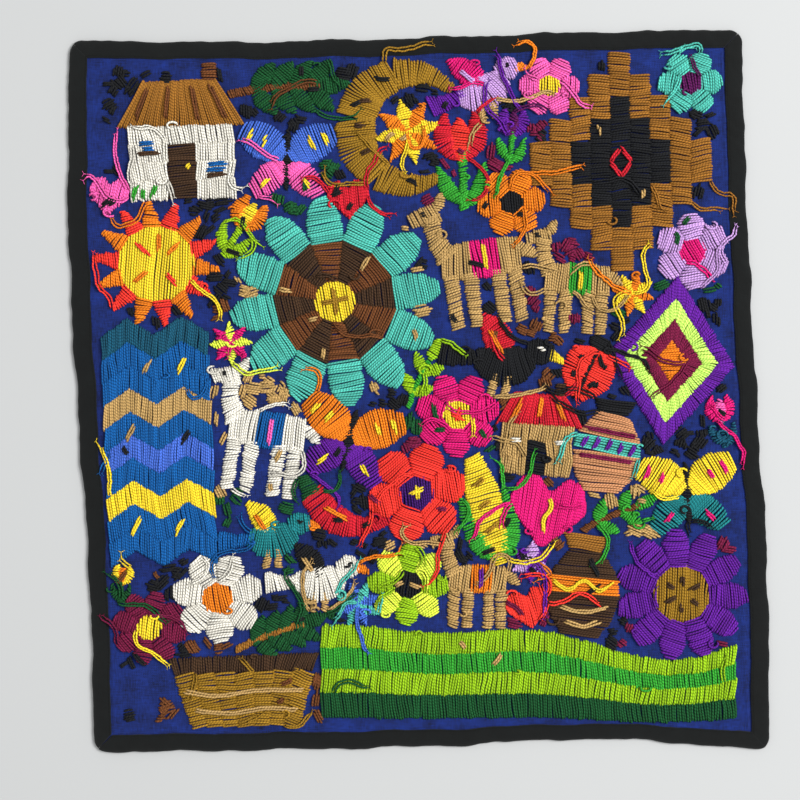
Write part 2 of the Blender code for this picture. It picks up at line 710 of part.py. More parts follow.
def make_motif(motif, origin):
    """One motif: its blocks joined in the plane, each crowned along its middle with a valley between."""
    blocks = motif[-1]
    points, faces, crowns = [], [], {}
    for block in blocks:
        outline, crown = block_outline(motif, block)
        faces.append([shared_place(points, point) for point in outline])
        for point, height in crown:
            crowns[len(points)] = height
            points.append(point)
    flat, _, triangles, sources, _, owners = delaunay_2d_cdt(points, [], faces, 1, 0.02, True)
    kept = [(t, max(owner)) for t, owner in zip(triangles, owners) if owner]
    triangles = [t for t, _ in kept]
    face_colours = [blocks[owner]["colour"] for _, owner in kept]
    used = sorted({k for t in triangles for k in t})
    places = {k: n for n, k in enumerate(used)}
    triangles = [[places[k] for k in t] for t in triangles]
    flat = [flat[k] for k in used]
    rim = {a for a, _ in rim_of(triangles)}
    heights = []
    for n, k in enumerate(used):
        crown = max((crowns.get(source, 0.0) for source in sources[k]), default=0.0)
        heights.append(STITCH_RIM if n in rim else max(crown, STITCH_VALLEY))
    seat = CLOTH_THICKNESS + STITCH_GAP
    return slab(motif[0], flat, triangles, heights, origin, seat, face_colours)


def make_cloth(origin):
    """The ground cloth: its edge inside the folded binding, its middle on the floor."""
    edge_share = (BINDING_FOLD + 2 * PIECE_GAP) / BINDING_WIDTH
    outline, points = [], []
    for name in side_names():
        for k, (outside, inside) in enumerate(side_sections(name)[:-1]):
            outline.append(outside.lerp(inside, edge_share))
            if k % 2 == 0:
                points.append(outside.lerp(inside, 1.18))
    xs, ys = [p.x for p in outline], [p.y for p in outline]
    columns = round((max(xs) - min(xs)) / CLOTH_CELL)
    rows = round((max(ys) - min(ys)) / CLOTH_CELL)
    for i in range(columns):
        for j in range(rows):
            x = min(xs) + (max(xs) - min(xs)) * (i + 0.5) / columns
            y = min(ys) + (max(ys) - min(ys)) * (j + 0.5) / rows
            if edge_distance(Vector((x, y))) > LIFT_FLAT:
                points.append(Vector((x, y)))
    points = outline[::-1] + points
    flat, _, found, _, _, owners = delaunay_2d_cdt(points, [], [list(range(len(outline)))], 1, 0.02, True)
    triangles = [t for t, owner in zip(found, owners) if owner]
    heights = [CLOTH_THICKNESS] * len(flat)
    return slab("ground_cloth", flat, triangles, heights, origin, 0.0, ["ground_blue"] * len(triangles))


def build():
    for item in list(bpy.data.objects):
        bpy.data.objects.remove(item)
    origin = panel_middle()
    make_cloth(origin)
    for name in side_names():
        make_binding(name, origin)
    for motif in design():
        make_motif(motif, origin)


build()
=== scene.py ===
# %% [markdown]
# An embroidered wall textile
#
# The real one is half a metre of blue cotton, worked all over in thick acrylic yarn. Each shape is filled
# with satin stitches: strands that lie side by side and go down through the cloth at both ends. They stand
# about two millimetres proud of it, and a folded strip of black cotton binds the edge.
#
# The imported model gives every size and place. This file gives the looks, and it makes each strand as a
# tube of its own, because the light between real strands is what tells the eye that this is stitching.

# %% Load the frame
import math

import bpy
import numpy as np
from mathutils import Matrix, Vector, noise


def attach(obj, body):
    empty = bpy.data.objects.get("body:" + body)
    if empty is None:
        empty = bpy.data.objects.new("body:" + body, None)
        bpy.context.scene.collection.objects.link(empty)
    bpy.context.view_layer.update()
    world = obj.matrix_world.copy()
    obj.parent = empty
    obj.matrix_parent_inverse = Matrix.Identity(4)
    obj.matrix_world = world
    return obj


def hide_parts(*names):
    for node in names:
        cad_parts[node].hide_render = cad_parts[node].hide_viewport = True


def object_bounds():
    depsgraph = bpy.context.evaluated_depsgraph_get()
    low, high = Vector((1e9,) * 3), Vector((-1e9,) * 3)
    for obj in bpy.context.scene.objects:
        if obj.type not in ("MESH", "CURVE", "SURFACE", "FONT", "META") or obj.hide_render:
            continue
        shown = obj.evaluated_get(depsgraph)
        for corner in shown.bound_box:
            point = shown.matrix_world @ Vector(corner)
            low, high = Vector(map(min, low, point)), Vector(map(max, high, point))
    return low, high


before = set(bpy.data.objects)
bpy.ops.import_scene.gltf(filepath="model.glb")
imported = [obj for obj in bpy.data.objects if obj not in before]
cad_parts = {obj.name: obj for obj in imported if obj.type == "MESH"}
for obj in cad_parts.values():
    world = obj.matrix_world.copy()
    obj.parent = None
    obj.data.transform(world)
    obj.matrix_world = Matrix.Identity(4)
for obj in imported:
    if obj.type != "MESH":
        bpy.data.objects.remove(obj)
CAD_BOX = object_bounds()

MM = 0.001
ORIGIN = Vector((-0.24, 0.4383))
cad_sides = [round(side / MM, 1) for side in CAD_BOX[1] - CAD_BOX[0]]
print("frame:", len(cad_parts), "nodes,", cad_sides, "mm")

# %% [markdown]
# The camera
#
# The textile was photographed lying on a table, from straight above. One pixel of that picture is 0.7 mm
# of cloth, so the lens follows from the height: the picture's width over the sensor's is the height over
# the focal length.

# %% The camera above the textile
PIXEL_SIZE = 0.7
IMAGE_PIXELS = 800
CAMERA_HEIGHT = 1.1
PICTURE_MIDDLE = Vector((-13.1, -5.6))

camera_data = bpy.data.cameras.new("camera")
camera_data.lens = camera_data.sensor_width * CAMERA_HEIGHT / (IMAGE_PIXELS * PIXEL_SIZE * MM)
camera = bpy.data.objects.new("camera", camera_data)
camera.location = (*((PICTURE_MIDDLE - ORIGIN) * MM), CAMERA_HEIGHT)
bpy.context.scene.collection.objects.link(camera)
bpy.context.scene.camera = camera
print("camera: lens", round(camera_data.lens, 1), "mm")

# %% [markdown]
# Colour and nodes
#
# Colours are written as sRGB hex values, as a paint program shows them. Blender's shaders work in linear
# light, so one function turns them. One more adds a node with its settings and its links, and a third
# starts a material, which keeps every material below short enough to read.


# %% Helpers for materials
MIX_A, MIX_B, MIX_RESULT = 6, 7, 2  # the colour sockets of a Mix node


def linear_colour(code, gain=1.0):
    """An sRGB hex value as a linear colour, made lighter or darker by a gain."""
    channels = []
    for k in (0, 2, 4):
        value = int(code[k : k + 2], 16) / 255
        value = value / 12.92 if value <= 0.04045 else ((value + 0.055) / 1.055) ** 2.4
        channels.append(min(1.0, value * gain))
    return (*channels, 1.0)


def add_node(tree, kind, settings=(), links=()):
    """A shader node with its sockets or properties set, and its inputs linked to other nodes' outputs."""
    node = tree.nodes.new("ShaderNode" + kind)
    for name, value in dict(settings).items():
        if isinstance(name, int) or name in node.inputs:
            node.inputs[name].default_value = value
        else:
            setattr(node, name, value)
    for name, output in dict(links).items():
        tree.links.new(output, node.inputs[name])
    return node


def new_material(name, settings):
    """A material's node tree and its Principled shader, with that shader's own values set."""
    material = bpy.data.materials.new(name)
    material.use_nodes = True
    shader = material.node_tree.nodes["Principled BSDF"]
    for socket, value in settings.items():
        shader.inputs[socket].default_value = value
    return material, material.node_tree, shader


# %% [markdown]
# Floor and light
#
# The photograph has a pale grey table and light from all round, so shadows are thin and soft. A
# bright world gives that, and one big soft lamp from the right gives the strands a lit side.

# %% Floor, lamp and world
FLOOR_SIZE = 6.5
FLOOR_DROP = 0.05
FLOOR_COLOUR = "A7A8A8"
FLOOR_CLOUD_GAIN = 0.98
LAMP_SIZE = 1.6
LAMP_PLACE = Vector((2.3, 0.7, 2.9))
LAMP_POWER = 198.0
WORLD_COLOUR = "FBFCFC"
WORLD_STRENGTH = 0.88

half = FLOOR_SIZE / 2
floor_corners = [(-half, -half, 0), (half, -half, 0), (half, half, 0), (-half, half, 0)]
floor_mesh = bpy.data.meshes.new("table_top")
floor_mesh.from_pydata(floor_corners, [], [(0, 1, 2, 3)])
floor = bpy.data.objects.new("table_top", floor_mesh)
bpy.context.scene.collection.objects.link(floor)
floor.location.z = -FLOOR_DROP * MM
material, tree, shader = new_material("painted_table_top", {"Roughness": 0.75, "IOR": 1.45})
cloudy = add_node(tree, "TexNoise", {"Scale": 3.0, "Detail": 3.0})
tone = add_node(tree, "Mix", {"data_type": "RGBA"}, {0: cloudy.outputs["Fac"]})
tone.inputs[MIX_A].default_value = linear_colour(FLOOR_COLOUR, FLOOR_CLOUD_GAIN)
tone.inputs[MIX_B].default_value = linear_colour(FLOOR_COLOUR)
tree.links.new(tone.outputs[MIX_RESULT], shader.inputs["Base Color"])
floor_mesh.materials.append(material)

lamp_data = bpy.data.lights.new("window_light", "AREA")
lamp_data.size = LAMP_SIZE
lamp_data.energy = LAMP_POWER
lamp = bpy.data.objects.new("window_light", lamp_data)
lamp.location = LAMP_PLACE
lamp.rotation_euler = LAMP_PLACE.to_track_quat("Z", "Y").to_euler()
bpy.context.scene.collection.objects.link(lamp)

world = bpy.data.worlds.new("soft_room")
world.use_nodes = True
background = world.node_tree.nodes["Background"]
background.inputs["Color"].default_value = linear_colour(WORLD_COLOUR)
background.inputs["Strength"].default_value = WORLD_STRENGTH
bpy.context.scene.world = world
bpy.context.scene.view_settings.view_transform = "Standard"
print("light: a lamp of", LAMP_POWER, "W and a world of strength", WORLD_STRENGTH)

# %% [markdown]
# Acrylic yarn
#
# The yarn is spun acrylic of two thick plies, about 1.7 mm across. The twist shows as slanted grooves, about
# two millimetres apart, and the fibres give a soft sheen without any gloss. A groove is where the
# cosine of the angle round the strand, less the turn of the twist so far, passes through nothing.
# Each strand has its own tone, because dyed yarn is never even, and its flanks are darker, because hardly
# any light gets down between two strands that touch.

# %% Yarn colours and the yarn material
YARN_COLOURS = {
    "white": "E8E3D6",
    "black": "151619",
    "tan": "BA965C",
    "ochre": "966322",
    "olive_gold": "9A731E",
    "brown": "6B3E1E",
    "dark_brown": "412C1B",
    "peach": "C5895E",
    "lime": "92BF16",
    "pale_lime": "C6F36A",
    "neon_yellow": "E4F84A",
    "yellow": "FAD62E",
    "orange": "EA7D18",
    "scarlet": "F7382D",
    "red": "C91C2D",
    "burgundy": "72143B",
    "plum": "55104F",
    "hot_pink": "DE1672",
    "pink": "F860AF",
    "lilac": "C398D6",
    "purple": "601A94",
    "dark_purple": "391061",
    "bright_blue": "0D599D",
    "cornflower": "456BCD",
    "dark_teal": "145068",
    "teal": "1B7B7F",
    "turquoise": "50BAA9",
    "green": "339D2E",
    "dark_green": "124E26",
}
TWIST_LENGTH = 4.2
PLIES = 2
PLY_ROUNDNESS = 0.9
PLY_DEPTH = 0.3
FIBRE_DEPTH = 0.35
FIBRES_ALONG = 1.8
FIBRES_ROUND = 26.0
TONE_GAINS = (0.68, 1.1)
GROOVE_GAIN = 0.5
SHEEN_GAIN = 1.25
FLANK_SHADE = 0.26
FLANK_RANGE = {"From Min": 0.08, "From Max": 0.92}


def yarn_material(colour):
    """Spun acrylic, twisted from two plies: slanted grooves, fine fibres, a soft sheen."""
    code = YARN_COLOURS[colour]
    spun = {"Roughness": 0.88, "IOR": 1.49, "Specular IOR Level": 0.2}
    spun |= {"Sheen Weight": 0.25, "Sheen Roughness": 0.5, "Sheen Tint": linear_colour(code, SHEEN_GAIN)}
    material, tree, shader = new_material("acrylic_yarn_" + colour, spun)

    # Across the map, one is one turn of the twist along the strand; up it, one is once round the strand
    turns = add_node(tree, "UVMap", {"uv_map": "strand"})
    parts = add_node(tree, "SeparateXYZ", links={0: turns.outputs[0]})
    helix = {0: parts.outputs["Y"], 1: parts.outputs["X"]}
    behind = add_node(tree, "Math", {"operation": "SUBTRACT"}, helix)
    ply_turn = {"operation": "MULTIPLY", 1: PLIES / 2 * math.tau}
    angle = add_node(tree, "Math", ply_turn, {0: behind.outputs[0]})
    wave = add_node(tree, "Math", {"operation": "COSINE"}, {0: angle.outputs[0]})
    folded = add_node(tree, "Math", {"operation": "ABSOLUTE"}, {0: wave.outputs[0]})
    ply = add_node(tree, "Math", {"operation": "POWER", 1: PLY_ROUNDNESS}, {0: folded.outputs[0]})

    # Fibres follow the plies, so their noise is drawn out along the helix
    stretch = {"operation": "MULTIPLY", 1: FIBRES_ALONG}
    along = add_node(tree, "Math", stretch, {0: parts.outputs["X"]})
    squeeze = {"operation": "MULTIPLY", 1: FIBRES_ROUND}
    round_it = add_node(tree, "Math", squeeze, {0: behind.outputs[0]})
    drawn = add_node(tree, "CombineXYZ", links={0: along.outputs[0], 1: round_it.outputs[0]})
    fibres = add_node(tree, "TexNoise", {"Scale": 1.0, "Detail": 2.0}, {"Vector": drawn.outputs[0]})
    on_ply = {"operation": "MULTIPLY_ADD", 1: FIBRE_DEPTH}
    height = add_node(tree, "Math", on_ply, {0: fibres.outputs["Fac"], 2: ply.outputs[0]})
    depth = {"Strength": 1.0, "Distance": PLY_DEPTH * MM}
    bump = add_node(tree, "Bump", depth, {"Height": height.outputs[0]})
    tree.links.new(bump.outputs[0], shader.inputs["Normal"])

    # A strand's own tone, then the shade in its grooves, then the shade down its flanks
    tone = add_node(tree, "Attribute", {"attribute_name": "tone"})
    darkest, palest = (linear_colour(code, gain) for gain in TONE_GAINS)
    ends = {"data_type": "RGBA", MIX_A: darkest, MIX_B: palest}
    dyed = add_node(tree, "Mix", ends, {0: tone.outputs["Fac"]})
    half_and_more = {"operation": "MULTIPLY_ADD", 1: 0.5, 2: 0.75}
    fuzzy = add_node(tree, "Math", half_and_more, {0: fibres.outputs["Fac"]})
    product = {"operation": "MULTIPLY", "use_clamp": True}
    lit = add_node(tree, "Math", product, {0: ply.outputs[0], 1: fuzzy.outputs[0]})
    groove = {"data_type": "RGBA", MIX_A: linear_colour(code, GROOVE_GAIN)}
    grooved = add_node(tree, "Mix", groove, {0: lit.outputs[0], MIX_B: dyed.outputs[MIX_RESULT]})
    once_round = {"operation": "MULTIPLY", 1: math.tau}
    way_round = add_node(tree, "Math", once_round, {0: parts.outputs["Y"]})
    upward = add_node(tree, "Math", {"operation": "SINE"}, {0: way_round.outputs[0]})
    darker = {"interpolation_type": "SMOOTHSTEP", "To Min": FLANK_SHADE} | FLANK_RANGE
    flank = add_node(tree, "MapRange", darker, {"Value": upward.outputs[0]})
    shading = {0: grooved.outputs[MIX_RESULT], "Scale": flank.outputs[0]}
    shaded = add_node(tree, "VectorMath", {"operation": "SCALE"}, shading)
    tree.links.new(shaded.outputs[0], shader.inputs["Base Color"])
    return material


yarns = {colour: yarn_material(colour) for colour in YARN_COLOURS}
print("yarn:", len(yarns), "colours")

# %% [markdown]
# Woven cotton
#
# Ground and binding are plain-woven cotton: thread over, thread under, with a matt face. A real thread is
# 0.4 mm wide, too fine for this picture, so the weave is drawn at twice that. Its threads wander a little,
# or the weave and the picture's pixels would make a pattern of their own. Slower noise gives the uneven
# dye and the paler rubbed places of a cloth that has been handled. Ground and binding differ in dye alone.

# %% The cotton material
COTTON_FINISHES = {
    "ground_cotton": {"code": "091B53", "contrast": 0.9},
    "binding_cotton": {"code": "050707", "contrast": 0.55},
}
THREAD_SPACING = 0.8
THREAD_WANDER = 1.2
WANDER_SCALE = 260.0
SLUB_SCALES = ((160.0, 1400.0, 1.0), (1400.0, 160.0, 1.0))
SLUB_SHADE = 0.9
WEAVE_RELIEF = 0.3
WEAVE_DEPTH = 0.14
WEAVE_SHADE = 0.08
CREASE_SCALE = 38.0
CREASE_DEPTH = 1.1
DYE_SCALE = 70.0


def cotton_material(name):
    """Plain-woven cotton: crossing threads, uneven dye, a matt and slightly fuzzy face."""
    code, contrast = COTTON_FINISHES[name]["code"], COTTON_FINISHES[name]["contrast"]
    matt = {"Roughness": 0.92, "IOR": 1.53, "Specular IOR Level": 0.14}
    matt |= {"Sheen Weight": 0.07, "Sheen Roughness": 0.6}
    material, tree, shader = new_material(name, matt)
    place_on = add_node(tree, "TexCoord").outputs["Object"]

    # Half a wave to a thread, both ways; noise moves the place first, so the threads wander
    wander = add_node(tree, "TexNoise", {"Scale": WANDER_SCALE, "Detail": 1.0}, {"Vector": place_on})
    both_ways = {"operation": "MULTIPLY", 1: (THREAD_WANDER * MM, THREAD_WANDER * MM, 0.0)}
    offset = add_node(tree, "VectorMath", both_ways, {0: wander.outputs["Color"]})
    bent = add_node(tree, "VectorMath", {"operation": "ADD"}, {0: place_on, 1: offset.outputs[0]})
    to_threads = {"operation": "SCALE", "Scale": math.pi / (THREAD_SPACING * MM)}
    scaled = add_node(tree, "VectorMath", to_threads, {0: bent.outputs[0]})
    parts = add_node(tree, "SeparateXYZ", links={0: scaled.outputs[0]})
    warp = add_node(tree, "Math", {"operation": "SINE"}, {0: parts.outputs["X"]})
    weft = add_node(tree, "Math", {"operation": "SINE"}, {0: parts.outputs["Y"]})
    crossing = {0: warp.outputs[0], 1: weft.outputs[0]}
    weave = add_node(tree, "Math", {"operation": "MULTIPLY"}, crossing)

    # Slubs are thicker lengths of thread, so their noise is drawn out one way and then the other
    slubs = []
    for scales in SLUB_SCALES:
        stretched = add_node(tree, "Mapping", {"Scale": scales}, {"Vector": place_on})
        slubs.append(add_node(tree, "TexNoise", {"Scale": 1.0}, {"Vector": stretched.outputs[0]}))
    both_slubs = {0: slubs[0].outputs["Fac"], 1: slubs[1].outputs["Fac"]}
    slub = add_node(tree, "Math", {"operation": "ADD"}, both_slubs)
    relief = {"operation": "MULTIPLY_ADD", 1: WEAVE_RELIEF}
    height = add_node(tree, "Math", relief, {0: weave.outputs[0], 2: slub.outputs[0]})
    weave_depth = {"Strength": 0.8, "Distance": WEAVE_DEPTH * MM}
    weave_bump = add_node(tree, "Bump", weave_depth, {"Height": height.outputs[0]})

    # Sharp little creases, where the cloth was drawn up by the stitching
    drawn_up = {"noise_type": "RIDGED_MULTIFRACTAL", "Scale": CREASE_SCALE, "Detail": 2.0, "Roughness": 0.4}
    creases = add_node(tree, "TexNoise", drawn_up, {"Vector": place_on})
    crease_depth = {"Strength": 0.6, "Distance": CREASE_DEPTH * MM}
    on_weave = {"Height": creases.outputs["Fac"], "Normal": weave_bump.outputs[0]}
    crease_bump = add_node(tree, "Bump", crease_depth, on_weave)
    tree.links.new(crease_bump.outputs[0], shader.inputs["Normal"])

    # Uneven dye, darker again on the slubs, and painted shade that makes the cloth a little darker between
    # the threads
    dye = add_node(tree, "TexNoise", {"Scale": DYE_SCALE, "Detail": 5.0}, {"Vector": place_on})
    on_dye = {"operation": "MULTIPLY_ADD", 1: WEAVE_SHADE}
    thread = add_node(tree, "Math", on_dye, {0: weave.outputs[0], 2: dye.outputs["Fac"]})
    about_none = {"operation": "MULTIPLY_ADD", 1: SLUB_SHADE, 2: -SLUB_SHADE}
    shade = add_node(tree, "Math", about_none, {0: slub.outputs[0]})
    clamped_sum = {"operation": "ADD", "use_clamp": True}
    total = add_node(tree, "Math", clamped_sum, {0: thread.outputs[0], 1: shade.outputs[0]})
    tones = {MIX_A: linear_colour(code, 1 - contrast), MIX_B: linear_colour(code, 1 + contrast)}
    colour = add_node(tree, "Mix", {"data_type": "RGBA"} | tones, {0: total.outputs[0]})
    tree.links.new(colour.outputs[MIX_RESULT], shader.inputs["Base Color"])
    return material


cottons = {name: cotton_material(name) for name in COTTON_FINISHES}
print("cotton:", sorted(cottons))

# %% [markdown]
# The lie of the cloth
#
# The binding holds the cloth's edge up from the table, and further in it sinks down and is puckered by
# the stitches. The model's heights are repeated here as functions, so that everything that lies on the
# cloth can ask how high it is. Small creases are added on top of them.

# %% Outline, edge distance and the cloth's height
CORNERS = {
    "top": (-244.1, 245.7),
    "right": (225.6, 253.4),
    "bottom": (245.2, -250.6),
    "left": (-226.6, -252.0),
}
BOWS = {
    "top": (-3.0, -2.3, -0.3),
    "right": (-1.2, 0.4, 3.2),
    "bottom": (-8.4, -3.8, -1.4),
    "left": (-0.8, 3.4, 5.2),
}
SIDES = list(CORNERS)
CORNER_RADIUS = 9.5
EDGE_RIPPLE = 0.7
INNER_BOW = 0.8
BINDING_WIDTH = 12.6
CLOTH_TOP = 1.0
CLOTH_LIFT = 1.3
LIFT_FLAT = 27.0
LIFT_FADE = 62.0
PUCKER_HEIGHT = 0.9
PUCKER_LENGTHS = (38.0, 34.0)
CREASE_HEIGHT = 0.9
CREASE_FLOOR = -0.6
CREASE_FADE = 12
BROAD_CREASE = (21, 15)
FINE_CREASE = (8, 10)
RIPPLES = (37.0, 83.0)


def side_frame(name):
    """A side's start corner, direction, outward normal and length."""
    start, end = Vector(CORNERS[name]), Vector(CORNERS[SIDES[(SIDES.index(name) + 1) % 4]])
    direction = (end - start).normalized()
    return start, direction, Vector((-direction.y, direction.x)), (end - start).length


SIDE_FRAMES = {name: side_frame(name) for name in SIDES}


def edge_distance(point):
    """How far inside the straight-sided outline a point lies."""
    return min(-(point - start).dot(normal) for start, _, normal, _ in SIDE_FRAMES.values())


def smooth_step(t):
    """From 0 to 1, slow at both ends."""
    t = max(0.0, min(1.0, t))
    return t * t * (3 - 2 * t)


def curve_point(points, t, smooth=True):
    """The point at t, from 0 to 1, of a smooth or straight-sided line through points."""
    spans = len(points) - 1
    k = min(int(t * spans), spans - 1)
    u = t * spans - k
    b, c = Vector(points[k]), Vector(points[k + 1])
    if not smooth or spans == 1:
        return b.lerp(c, u)
    a = Vector(points[k - 1]) if k > 0 else 2 * b - c
    d = Vector(points[k + 2]) if k + 2 <= spans else 2 * c - b
    return 0.5 * (2 * b + u * (c - a) + u * u * (2 * a - 5 * b + 4 * c - d) + u**3 * (3 * b - a - 3 * c + d))


def bow(name, share):
    """How far a side leans out of its straight line, with the ripple of its folded edge."""
    lean = curve_point([(v, 0.0) for v in (0.0, *BOWS[name], 0.0)], share).x
    phase = SIDES.index(name) * 1.7
    ripple = math.sin(RIPPLES[0] * share + phase) + 0.6 * math.sin(RIPPLES[1] * share + 2.3 * phase)
    return lean + EDGE_RIPPLE * ripple * max(0.0, math.sin(math.pi * share)) ** 0.5


def cloth_height(point):
    """The top of the cloth at a point of the textile, in millimetres above the table."""
    distance = edge_distance(point)
    inside = smooth_step((distance - LIFT_FLAT) / LIFT_FADE)
    wave = math.sin(point.x / PUCKER_LENGTHS[0] + 0.6) * math.sin(point.y / PUCKER_LENGTHS[1] + 1.1)
    lie = CLOTH_LIFT * (1 - inside) + PUCKER_HEIGHT * inside * max(0.0, wave) ** 2
    broad = noise.noise(Vector((point.x / BROAD_CREASE[0], point.y / BROAD_CREASE[1], 0.3)))
    fine = noise.noise(Vector((point.x / FINE_CREASE[0], point.y / FINE_CREASE[1], 5.1)))
    free = smooth_step((distance - BINDING_WIDTH) / CREASE_FADE)
    return CLOTH_TOP + lie + CREASE_HEIGHT * free * max(CREASE_FLOOR, broad + 0.5 * fine)


middle_and_edge = [round(cloth_height(Vector((0, y))), 2) for y in (0, 240)]
print("cloth: middle and edge", middle_and_edge, "mm high")

# %% [markdown]
# The ground cloth
#
# One square of cotton, cut about 490 mm each way. It is a grid of 3 mm cells stretched between the four
# bowed sides, with closer rows near the edge: there the seam that holds the binding raises a thin ridge. A
# grid is the plain way to make cloth that lies flat, and every point can take its own height.

# %% Make the ground cloth
CLOTH_SHEET = 0.45
CLOTH_INSET = 2.6
SEAM_PLACE = BINDING_WIDTH + 2.1
SEAM_RIDGE = 0.6
SEAM_WIDTH = 0.7
EDGE_ROWS = [CLOTH_INSET, 7.0, 11.0, 12.6, 13.3, 14.0, 14.7, 15.4, 16.1, 17.4, 19.0]
CLOTH_ROW = 3.1


def grid_shares(length):
    """Shares from edge to edge: close rows over the seam, and even ones between."""
    near = [d / length for d in EDGE_ROWS]
    count = round((1 - 2 * near[-1]) * length / CLOTH_ROW)
    middle = [near[-1] + (1 - 2 * near[-1]) * k / count for k in range(1, count)]
    return near + middle + [1 - share for share in reversed(near)]


def side_point(name, share):
    """A point of a side's finished outline."""
    start, direction, normal, length = SIDE_FRAMES[name]
    return start + direction * length * share + normal * bow(name, share)


def inside_corner(point):
    """The point, moved in where it would stick out of the rounded corner."""
    for name in SIDES:
        start, direction, normal, _ = SIDE_FRAMES[name]
        before = SIDE_FRAMES[SIDES[SIDES.index(name) - 1]][2]
        centre = start - (normal + before) * CORNER_RADIUS
        away = point - centre
        if away.dot(normal) > 0 and away.dot(before) > 0 and away.length > CORNER_RADIUS - CLOTH_INSET:
            return centre + away.normalized() * (CORNER_RADIUS - CLOTH_INSET)
    return point


def add_object(name, mesh, nodes, material):
    """A finished piece: linked, riding on the root body, with its finish, and with the nodes that it stands
    for hidden.
    """
    mesh.materials.append(material)
    piece = bpy.data.objects.new(name, mesh)
    bpy.context.scene.collection.objects.link(piece)
    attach(piece, "root")
    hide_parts(*nodes)
    return piece


def row_place(point, height):
    """A point of the textile at a height, both in millimetres, as a place in the row frame."""
    return ((point.x - ORIGIN.x) * MM, (point.y - ORIGIN.y) * MM, height * MM)


def make_ground_cloth():
    """The grid of cloth: each point is blended from the four sides, then given its height."""
    across_shares = grid_shares(SIDE_FRAMES["top"][3])
    up_shares = grid_shares(SIDE_FRAMES["left"][3])
    top = [side_point("top", u) for u in across_shares]
    bottom = [side_point("bottom", 1 - u) for u in across_shares]
    left = [side_point("left", v) for v in up_shares]
    right = [side_point("right", 1 - v) for v in up_shares]
    low_left, low_right = Vector(CORNERS["left"]), Vector(CORNERS["bottom"])
    high_left, high_right = Vector(CORNERS["top"]), Vector(CORNERS["right"])
    points = []
    for j, v in enumerate(up_shares):
        for i, u in enumerate(across_shares):
            ends = (1 - v) * bottom[i] + v * top[i] + (1 - u) * left[j] + u * right[j]
            low, high = (1 - u) * low_left + u * low_right, (1 - u) * high_left + u * high_right
            point = inside_corner(ends - ((1 - v) * low + v * high))
            ridge = SEAM_RIDGE * math.exp(-(((edge_distance(point) - SEAM_PLACE) / SEAM_WIDTH) ** 2))
            points.append(row_place(point, cloth_height(point) + ridge))
    columns = len(across_shares)
    faces = []
    for j in range(len(up_shares) - 1):
        for i in range(columns - 1):
            k = j * columns + i
            faces.append((k, k + 1, k + columns + 1, k + columns))
    mesh = bpy.data.meshes.new("ground_cloth_cotton")
    mesh.from_pydata(points, [], faces)
    mesh.shade_smooth()
    finish = cottons["ground_cotton"]
    cloth = add_object("ground_cloth_cotton", mesh, ["ground_cloth"], finish)
    solid = cloth.modifiers.new("cloth_thickness", "SOLIDIFY")
    solid.thickness = CLOTH_SHEET * MM
    solid.offset = -1.0
    print("ground cloth:", len(faces), "faces")
    return cloth


ground = make_ground_cloth()

# %% [markdown]
# The binding
#
# A strip of black cotton is folded over each side, turned in at both raw edges and sewn down. Its section
# is a C round the cloth's edge. That section is carried along the side in short steps, so the folded edge
# can ripple and the face can pucker as sewn cotton does. The stitches that hold it down are a row of small
# dents along its inner edge. At the corners the strips meet in mitres, and the cut ends roll down a little,
# which shows as a fine line.

# %% Make the four binding strips
BINDING_SECTION = [
    (12.6, 0.08),
    (7.0, 0.04),
    (2.2, 0.04),
    (0.9, 0.14),
    (0.2, 0.75),
    (0.0, 1.65),
    (0.22, 2.6),
    (1.0, 3.3),
    (2.4, 3.66),
    (4.4, 3.84),
    (6.6, 3.9),
    (8.8, 3.84),
    (10.4, 3.76),
    (10.9, 3.7),
    (11.3, 3.66),
    (11.7, 3.6),
    (12.2, 3.42),
    (12.6, 3.05),
    (12.4, 2.64),
    (9.0, 2.62),
    (5.0, 2.6),
    (2.4, 2.45),
    (1.9, 1.8),
    (2.4, 1.12),
    (7.0, 1.02),
    (12.5, 1.0),
]
BINDING_STEP = 1.25
SEWN_AT = 11.3
SEWN_DEPTH = 0.55
MITRE_LENGTH = 1.25 * BINDING_WIDTH
MITRE_GAP = 0.06
MITRE_ROLL = {0: 0.55, 1: 0.12}
FAN_SHARES = (0.0, 0.06, 0.15, 0.3, 0.45, 0.6, 0.8)
FACE_FROM, FACE_FADE = 2.7, 0.7
TREMBLE, TREMBLE_RUN = 0.6, 8
WAVER, WAVER_RUN = 0.25, 6
ROUND_PUCKER, ROUND_PUCKER_SIZE = 0.4, 11
SLANT_PUCKER, SLANT_PUCKER_SIZES = 0.3, (4.5, 16)


def binding_stations(length):
    """How far along the outer and the inner edge each section of a strip is, from mitre to mitre."""
    outer_start, inner_start = CORNER_RADIUS * (1 - math.sqrt(0.5)), BINDING_WIDTH
    fan = []
    for share in FAN_SHARES:
        fan.append(tuple(start + (MITRE_LENGTH - start) * share for start in (outer_start, inner_start)))
    count = round((length - 2 * MITRE_LENGTH) / BINDING_STEP)
    middle = [MITRE_LENGTH + (length - 2 * MITRE_LENGTH) * k / count for k in range(count + 1)]
    far = [(length - a, length - b) for a, b in reversed(fan)]
    return fan + [(a, a) for a in middle] + far


